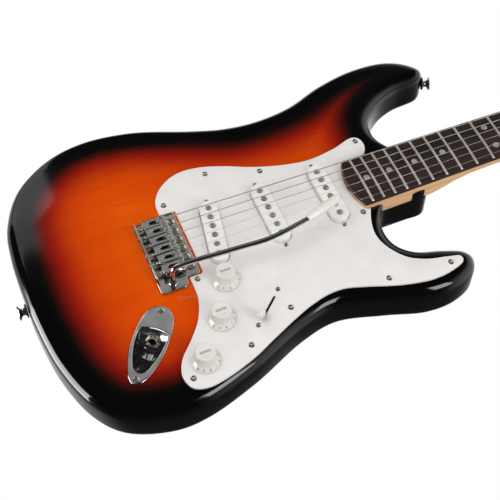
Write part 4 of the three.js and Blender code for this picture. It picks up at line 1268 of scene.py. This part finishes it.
def board_ring(x, arched_end=False):
    half = neck_half_width(min(x, SCALE))
    ys = half * np.cos(np.linspace(0, math.pi, 33))
    over = [(y, board_top(y)) for y in ys]
    over[0] = (half, board_top(half) - 0.35)
    over[-1] = (-half, board_top(half) - 0.35)
    return section_ring(x, over, [(y, NECK_TOP) for y in ys], arched_end)


def fretboard():
    xs = list(np.arange(190, 640, 15)) + [SCALE - 0.05]
    wood = bar([board_ring(190, True)] + [board_ring(x) for x in xs])
    tail = block(NUT_END + 0.05, 654.5, -20.9, 20.9, NECK_TOP, board_top(20) - 0.2, 0.5, 0.5)
    under_nut = block(SCALE - 0.2, NUT_END + 0.2, -20.9, 20.9, NECK_TOP, NECK_TOP + 1.8, 0.2, 0)
    build("fretboard_wood", merged(wood, tail, under_nut), ROSEWOOD, replaces=["fretboard"])
    build("frets", merged(*[fret(n) for n in range(1, FRETS + 1)]), FRET_NICKEL)
    dots = []
    for n in (3, 5, 7, 9, 12, 15, 17, 19, 21):
        x = (fret_x(n) + fret_x(n - 1)) / 2
        dots += [(x, y, 3.2 if n < 13 else 3.0) for y in ((-12, 12) if n == 12 else (0,))]
    inlays = []
    for x, y, radius in dots:
        tilt = Matrix.Rotation(y / BOARD_RADIUS, 4, "X")
        disc = lathe([(0, -0.6), (radius, -0.6), (radius, 0.0), (radius - 0.08, 0.04), (0, 0.05)], 36)
        inlays.append(moved(disc, Matrix.Translation((x, y, board_top(y))) @ tilt.inverted()))
    build("dot_inlays", merged(*inlays), DOT_PEARL)
    side = []
    for n in (3, 5, 7, 9, 12, 15, 17, 19, 21):
        x = (fret_x(n) + fret_x(n - 1)) / 2
        for off in ((-4, 4) if n == 12 else (0,)):
            half = neck_half_width(x + off)
            spot = Vector((x + off, half - 0.25, NECK_TOP + 2.2))
            side.append(moved(lathe([(0, 0), (1.0, 0), (1.0, 0.3), (0, 0.32)], 16),
                              aimed(spot, spot + Vector((0, 1, 0)))))
    build("side_dots", merged(*side), DOT_PEARL)


def fret(n):
    """A rounded wire across the crowned board, with its ends dressed in."""
    x0 = fret_x(n)
    half = neck_half_width(x0) - 0.3
    ends = [(0.0, 0.35), (0.35, 0.75), (0.9, 1.0)]
    ys = [(-half + inset, lift) for inset, lift in ends]
    ys += [(y, 1.0) for y in np.linspace(-half + 2, half - 2, 15)]
    ys += [(half - inset, lift) for inset, lift in reversed(ends)]
    rings = []
    for y, lift in ys:
        arc = [(x0 + 1.2 * math.cos(t), y, board_top(y) + FRET_HEIGHT * lift * math.sin(t))
               for t in np.linspace(0, math.pi, 11)]
        rings.append(arc + [(x0 - 1.2, y, board_top(y) - 1.2), (x0 + 1.2, y, board_top(y) - 1.2)])
    return skin(rings)


def nut():
    seat = NECK_TOP + 1.8
    stops = [-20.8]
    for i in reversed(range(6)):
        half = STRING_RADII[i] + 0.12
        stops += [string_nut_y(i) - half, string_nut_y(i) + half]
    stops.append(20.8)
    profile = []
    for k, y in enumerate(stops):
        lift = 2.4 if k in (0, len(stops) - 1) else None
        top = board_top(y)
        if lift is None:
            slot_floor = top + 1.3
            upper = top + 2.4
            profile += [(y, upper), (y, slot_floor)] if k % 2 else [(y, slot_floor), (y, upper)]
        else:
            profile.append((y, top + lift - 0.3))
    loop = [(y, z) for y, z in profile] + [(20.8, seat), (-20.8, seat)]
    shape = sheet(np.array(loop), [], 0, NUT_END - SCALE, 0.0)
    stand = Matrix(((0, 0, 1, SCALE), (1, 0, 0, 0), (0, 1, 0, 0), (0, 0, 0, 1)))
    build("nut_bone", moved(shape, stand), NUT_BONE, replaces=["nut"])


# ---------------------------------------------------------------- strings

def string(i):
    """From its hole in the bridge plate over the saddle and the nut to a point beside its post, then
    wraps."""
    radius = STRING_RADII[i]
    nut_y, bridge_y = string_nut_y(i), string_bridge_y(i)
    crest = saddle_crest(i)
    nut_z = board_top(nut_y) + 1.3 + radius
    post = POSTS[i]
    beside_y = post.y - POST_RADIUS - radius
    post_z = HEADSTOCK_TOP + 8.5
    run = (nut_y - beside_y) / (post.x - NUT_END)
    path = [
        (-12.6, bridge_y, crest - 11), (-6.4, bridge_y, crest - 1.8), (-5.0, bridge_y, crest + radius * 0.4),
        (-3.6, bridge_y, crest + radius), (2.5, bridge_y, crest + radius),
    ]
    start = Vector(path[-1])
    end = Vector((SCALE - 0.4, nut_y, nut_z))
    near = [start.lerp(end, x / (SCALE - 3)) for x in (4, 8, 12, 16, 20, 25, 32, 45)]
    far = [start.lerp(end, s) for s in np.linspace(0.12, 1, 12)]
    behind = [
        (NUT_END + 0.4, nut_y, nut_z - 0.05),
        (post.x - 8, beside_y + run * 8, post_z + 0.6),
        (post.x, beside_y, post_z),
    ]
    points = path + [tuple(p) for p in near + far] + behind
    material = WOUND_STRING if i < 3 else PLAIN_STRING
    line = build(f"string_{i + 1}_line", sweep(points, radius, 12), material, None, [f"string_{i + 1}"])
    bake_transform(line)
    wraps = []
    turns = 3
    reach = POST_RADIUS + radius - 0.05
    for step in range(turns * 24 + 1):
        turn = -math.pi / 2 + math.tau * step / 24
        wraps.append((post.x + reach * math.cos(turn), post.y + reach * math.sin(turn),
                      post_z - 2.1 * radius * step / 24))
    build(f"string_{i + 1}_wraps", sweep(wraps, radius, 10), material, f"tuner_spindle_{i + 1}")


# ---------------------------------------------------------------- tuners

def tuner(i):
    post = POSTS[i]
    top = HEADSTOCK_TOP + 17
    profile = [
        (0, WORM_Z - 1.5), (4.5, WORM_Z - 1.5), (4.5, WORM_Z + 1.5), (3.1, WORM_Z + 1.5), (3.1, top - 9.6),
        (2.75, top - 8.6), (2.7, top - 6.4), (3.0, top - 4.6), (3.1, top - 0.5), (2.7, top), (1.2, top),
        (1.1, top - 1.2),
        (0, top - 1.2),
    ]
    build(f"tuner_{i + 1}_post", moved(lathe(profile, 36), at(post.x, post.y)), SCREW_METAL,
          f"tuner_spindle_{i + 1}", [f"tuner_post_{i + 1}"])
    along = i * TUNER_PITCH + WORM_OFFSET
    place = at(POSTS[0].x, POSTS[0].y, 0, TUNER_ANGLE)
    shaft = lathe([(0, -4), (2.2, -4), (2.2, 6), (1.9, 6.4), (1.9, 11), (2.6, 11.4), (2.6, 12.6), (1.9, 13),
                   (1.9, 23),
                   (3.0, 23.6), (3.0, 25), (0, 25)], 28)
    rings = []
    for y in 31.5 + 8 * np.sin(np.linspace(-math.pi / 2 + 0.05, math.pi / 2 - 0.05, 21)):
        s = (y - 31.5) / 8
        wide = 8.4 * (1 - abs(s) ** 3) ** (1 / 2.4) + 0.2
        thick = 3.2 * (1 - abs(s) ** 2.6) ** (1 / 2) + 0.1
        rings.append([
            (wide * math.copysign(abs(math.cos(t)) ** 0.9, math.cos(t)), y,
             thick * math.copysign(abs(math.sin(t)) ** 0.9, math.sin(t)))
            for t in np.linspace(0, math.tau, 36, endpoint=False)
        ])
    button = moved(skin(rings), Matrix.Translation((along, 0, WORM_Z)))
    lying = Matrix.Translation((along, 0, WORM_Z)) @ Matrix.Rotation(-math.pi / 2, 4, "X")
    build(f"tuner_{i + 1}_button", moved(merged(moved(shaft, lying), button), place), CHROME,
          f"tuner_key_{i + 1}",
          [f"tuner_button_{i + 1}"])


def headstock_hardware():
    machine("tuner_plate", 0.5, CHROME)
    rings = []
    for post in POSTS:
        ferrule = lathe([(3.45, -0.5), (5.2, -0.5), (5.2, 0.7), (4.7, 1.3), (3.7, 1.4), (3.45, 1.1),
                         (3.45, -0.5)], 36)
        rings.append(moved(ferrule, at(post.x, post.y, HEADSTOCK_TOP)))
    build("post_ferrules", merged(*rings), CHROME)
    place = at(POSTS[0].x, POSTS[0].y, 0, TUNER_ANGLE)
    seats = []
    for k in range(6):
        for y in (-8.6, 9.8):
            spot = place @ Vector((k * TUNER_PITCH - 8.9, y, HEEL_BACK - 1.25))
            seats.append((spot, spot - Vector((0, 0, 9))))
    screws("tuner_plate_screws", seats, 1.5, 0.2, 0.6, 7)
    x = 742
    ys = [string_path_y(i, x) for i in (4, 5)]
    middle_y = sum(ys) / 2
    z = HEADSTOCK_TOP + 8.4
    wings = block(-3, 3, ys[1] - middle_y - 2.6, ys[0] - middle_y + 2.6, 0, 1.2, 1.4, 0.4, 0.3)
    stem = lathe([(0, HEADSTOCK_TOP - z), (2.2, HEADSTOCK_TOP - z), (2.2, 0), (0, 0)], 24)
    build("string_tree", moved(merged(wings, stem), at(x, middle_y, z)), CHROME)
    screws("string_tree_screw", [((x, middle_y, z + 1.2), (x, middle_y, 90))], 2.2, 0.2, 0.8, 3)


def string_path_y(i, x):
    """Where a string lies beside the nut's far side, on its way to the post."""
    post = POSTS[i]
    beside = post.y - POST_RADIUS - STRING_RADII[i]
    nut_y = string_nut_y(i)
    return nut_y + (beside - nut_y) * (x - NUT_END) / (post.x - NUT_END)


# ---------------------------------------------------------------- strap buttons

def strap_button(node, heading):
    box_middle = middle(node)
    out = Vector((math.cos(heading), math.sin(heading), 0))
    length = 9
    seat = box_middle - out * length / 2
    washer = lathe([(3.3, 0), (6.2, 0), (6.5, 0.3), (6.5, 1.2), (6.2, 1.5), (3.3, 1.5), (3.3, 0)], 40)
    build(f"{node}_felt", moved(washer, aimed(seat, seat + out)), FELT)
    profile = [
        (0, 1.5), (4.6, 1.5), (4.5, 1.9), (3.7, 2.7), (3.3, 3.8), (3.3, 4.6), (3.8, 5.7), (4.9, 6.5),
        (6.4, 7.1),
        (6.95, 7.5), (7, 8.0), (6.6, 8.6), (5.8, 9), (3.2, 9), (2.8, 8.4), (0, 8.4),
    ]
    build(f"{node}_turned", moved(lathe(profile, 48), aimed(seat, seat + out)), CHROME, replaces=[node])
    top = seat + out * 8.4
    screws(f"{node}_screw", [(top, top + out)], 2.6, 0.2, 0.6, 1)


# ---------------------------------------------------------------- light and camera

SATIN_METALS = (SCREW_METAL, STEEL, FRET_NICKEL, POLE_STEEL, PLAIN_STRING, WOUND_STRING)
METALS = (CHROME, CAST_CHROME) + SATIN_METALS


def softbox(name, centre, facing, width, height, radiance, mirrored=True, diffuse=True):
    """A rectangular light whose surface has the given radiance. An unmirrored one lights, but isn't
    reflected, and one that isn't diffuse is only reflected."""
    lamp = bpy.data.lights.new(name, "AREA")
    lamp.shape = "RECTANGLE"
    lamp.size = width
    lamp.size_y = height
    lamp.energy = math.pi * width * height * radiance
    obj = bpy.data.objects.new(name, lamp)
    obj.location = centre
    obj.rotation_euler = Vector(facing).to_track_quat("-Z", "Y").to_euler()
    obj.visible_glossy = mirrored
    obj.visible_diffuse = diffuse
    bpy.context.scene.collection.objects.link(obj)
    return obj


def link_light(lamp, pieces, state):
    """Lets a light reach only these pieces (INCLUDE), or all but these (EXCLUDE)."""
    group = bpy.data.collections.new(f"{lamp.name}_pieces")
    for piece in pieces:
        group.objects.link(piece)
    for member in group.collection_objects:
        member.light_linking.link_state = state
    lamp.light_linking.receiver_collection = group


def made_of(materials):
    names = {material.name for material in materials}
    return [obj for obj in bpy.context.scene.objects if names & {slot.name for slot in obj.material_slots}]


def lights():
    softbox("key", (-0.5, -0.2, 1.5), (0.55, 0.2, -1.46), 0.9, 0.5, 6.0, mirrored=False)
    softbox("left", (-0.9, 0.17, 0.0), (1, 0, 0), 0.67, 0.7, 9, diffuse=False)
    front_right = softbox("front_right", (0.7, -1.2, 0.95), (0, 1, 0), 0.5, 0.95, 7)
    softbox("far_left", (-0.24, 0.6, 0.45), (0, -1, 0), 0.34, 0.7, 1.0)
    card = softbox("metal_card", (0.3, 0.9, 1.5), (0, 0, -1), 1.6, 1.2, 0.33)
    satin_key = softbox("satin_key", (-0.5, -0.2, 1.5), (0.55, 0.2, -1.46), 0.9, 0.5, 4.0)
    link_light(card, made_of(METALS), "INCLUDE")
    link_light(satin_key, made_of(SATIN_METALS), "INCLUDE")
    link_light(front_right, [bpy.data.objects["tremolo_arm_bar"]], "EXCLUDE")


def eased_step(tree, value, start, end, low_value=0.0, high_value=1.0):
    inputs = {"Value": value, "From Min": start, "From Max": end, "To Min": low_value, "To Max": high_value}
    return wire_up(tree, "ShaderNodeMapRange", inputs, interpolation_type="SMOOTHSTEP").outputs["Result"]


def arithmetic(tree, operation, first, second):
    return wire_up(tree, "ShaderNodeMath", {0: first, 1: second}, operation=operation).outputs[0]


def world():
    """White to the camera and an even sky for matt surfaces. Reflections see a dark room with a bright far
    floor and a bright right side."""
    bpy.context.scene.world = bpy.data.worlds.new("studio")
    bpy.context.scene.world.use_nodes = True
    tree = bpy.context.scene.world.node_tree
    tree.nodes.clear()
    rays = tree.nodes.new("ShaderNodeLightPath").outputs
    direction = tree.nodes.new("ShaderNodeTexCoord").outputs["Generated"]
    axes = wire_up(tree, "ShaderNodeSeparateXYZ", {"Vector": direction}).outputs
    below = eased_step(tree, axes["Z"], 0.03, -0.08)
    floor = arithmetic(tree, "MULTIPLY", eased_step(tree, axes["Y"], -0.35, 0.6, 0.03, 0.7), below)
    under_top = eased_step(tree, axes["Z"], 0.85, 0.45)
    over_floor = eased_step(tree, axes["Z"], -0.9, -0.3)
    side = arithmetic(tree, "MULTIPLY", eased_step(tree, axes["X"], 0.25, 0.9, 0.0, 1.3), under_top)
    side = arithmetic(tree, "MULTIPLY", side, over_floor)
    room = arithmetic(tree, "ADD", arithmetic(tree, "ADD", floor, side), 0.03)
    mirror = wire_up(tree, "ShaderNodeCombineColor",
                     {"Red": room, "Green": room, "Blue": room}).outputs["Color"]
    sky = mixed(tree, (200, 201, 204), mirror, rays["Is Glossy Ray"])
    seen = mixed(tree, sky, (255, 255, 255), rays["Is Camera Ray"])
    background = wire_up(tree, "ShaderNodeBackground", {"Color": seen, "Strength": 1.0})
    tree.links.new(background.outputs[0], wire_up(tree, "ShaderNodeOutputWorld").inputs["Surface"])


def camera():
    yaw, pitch, roll = math.radians(67.7368), math.radians(55.299), math.radians(-0.2953)
    ahead = Vector((math.cos(pitch) * math.cos(yaw), math.cos(pitch) * math.sin(yaw), -math.sin(pitch)))
    level = ahead.cross(Vector((0, 0, 1))).normalized()
    above = level.cross(ahead)
    right = math.cos(roll) * level + math.sin(roll) * above
    up = math.cos(roll) * above - math.sin(roll) * level
    data = bpy.data.cameras.new("camera")
    data.lens = 81.47
    data.sensor_width = 36
    data.clip_start = 0.01
    obj = bpy.data.objects.new("camera", data)
    bpy.context.scene.collection.objects.link(obj)
    obj.matrix_world = Matrix((
        (right.x, up.x, -ahead.x, -0.1621), (right.y, up.y, -ahead.y, -0.5837),
        (right.z, up.z, -ahead.z, 0.9114),
        (0, 0, 0, 1),
    ))
    bpy.context.scene.camera = obj


# ---------------------------------------------------------------- the guitar

body()
back_plates()
pickguard()
for pickup_name in PICKUPS:
    pickup(pickup_name)
for node_name, body_name in zip(KNOBS, ("volume_control", "tone_control_1", "tone_control_2")):
    knob(node_name, body_name)
switch()
jack_plate()
bridge()
tremolo_arm()
tremolo_springs()
neck()
fretboard()
nut()
for row in range(6):
    saddle(row)
    string(row)
    tuner(row)
headstock_hardware()
strap_button("strap_button_horn", math.radians(-22.6))
strap_button("strap_button_butt", math.pi)
camera()
world()
lights()
bpy.context.scene.view_settings.view_transform = "Standard"
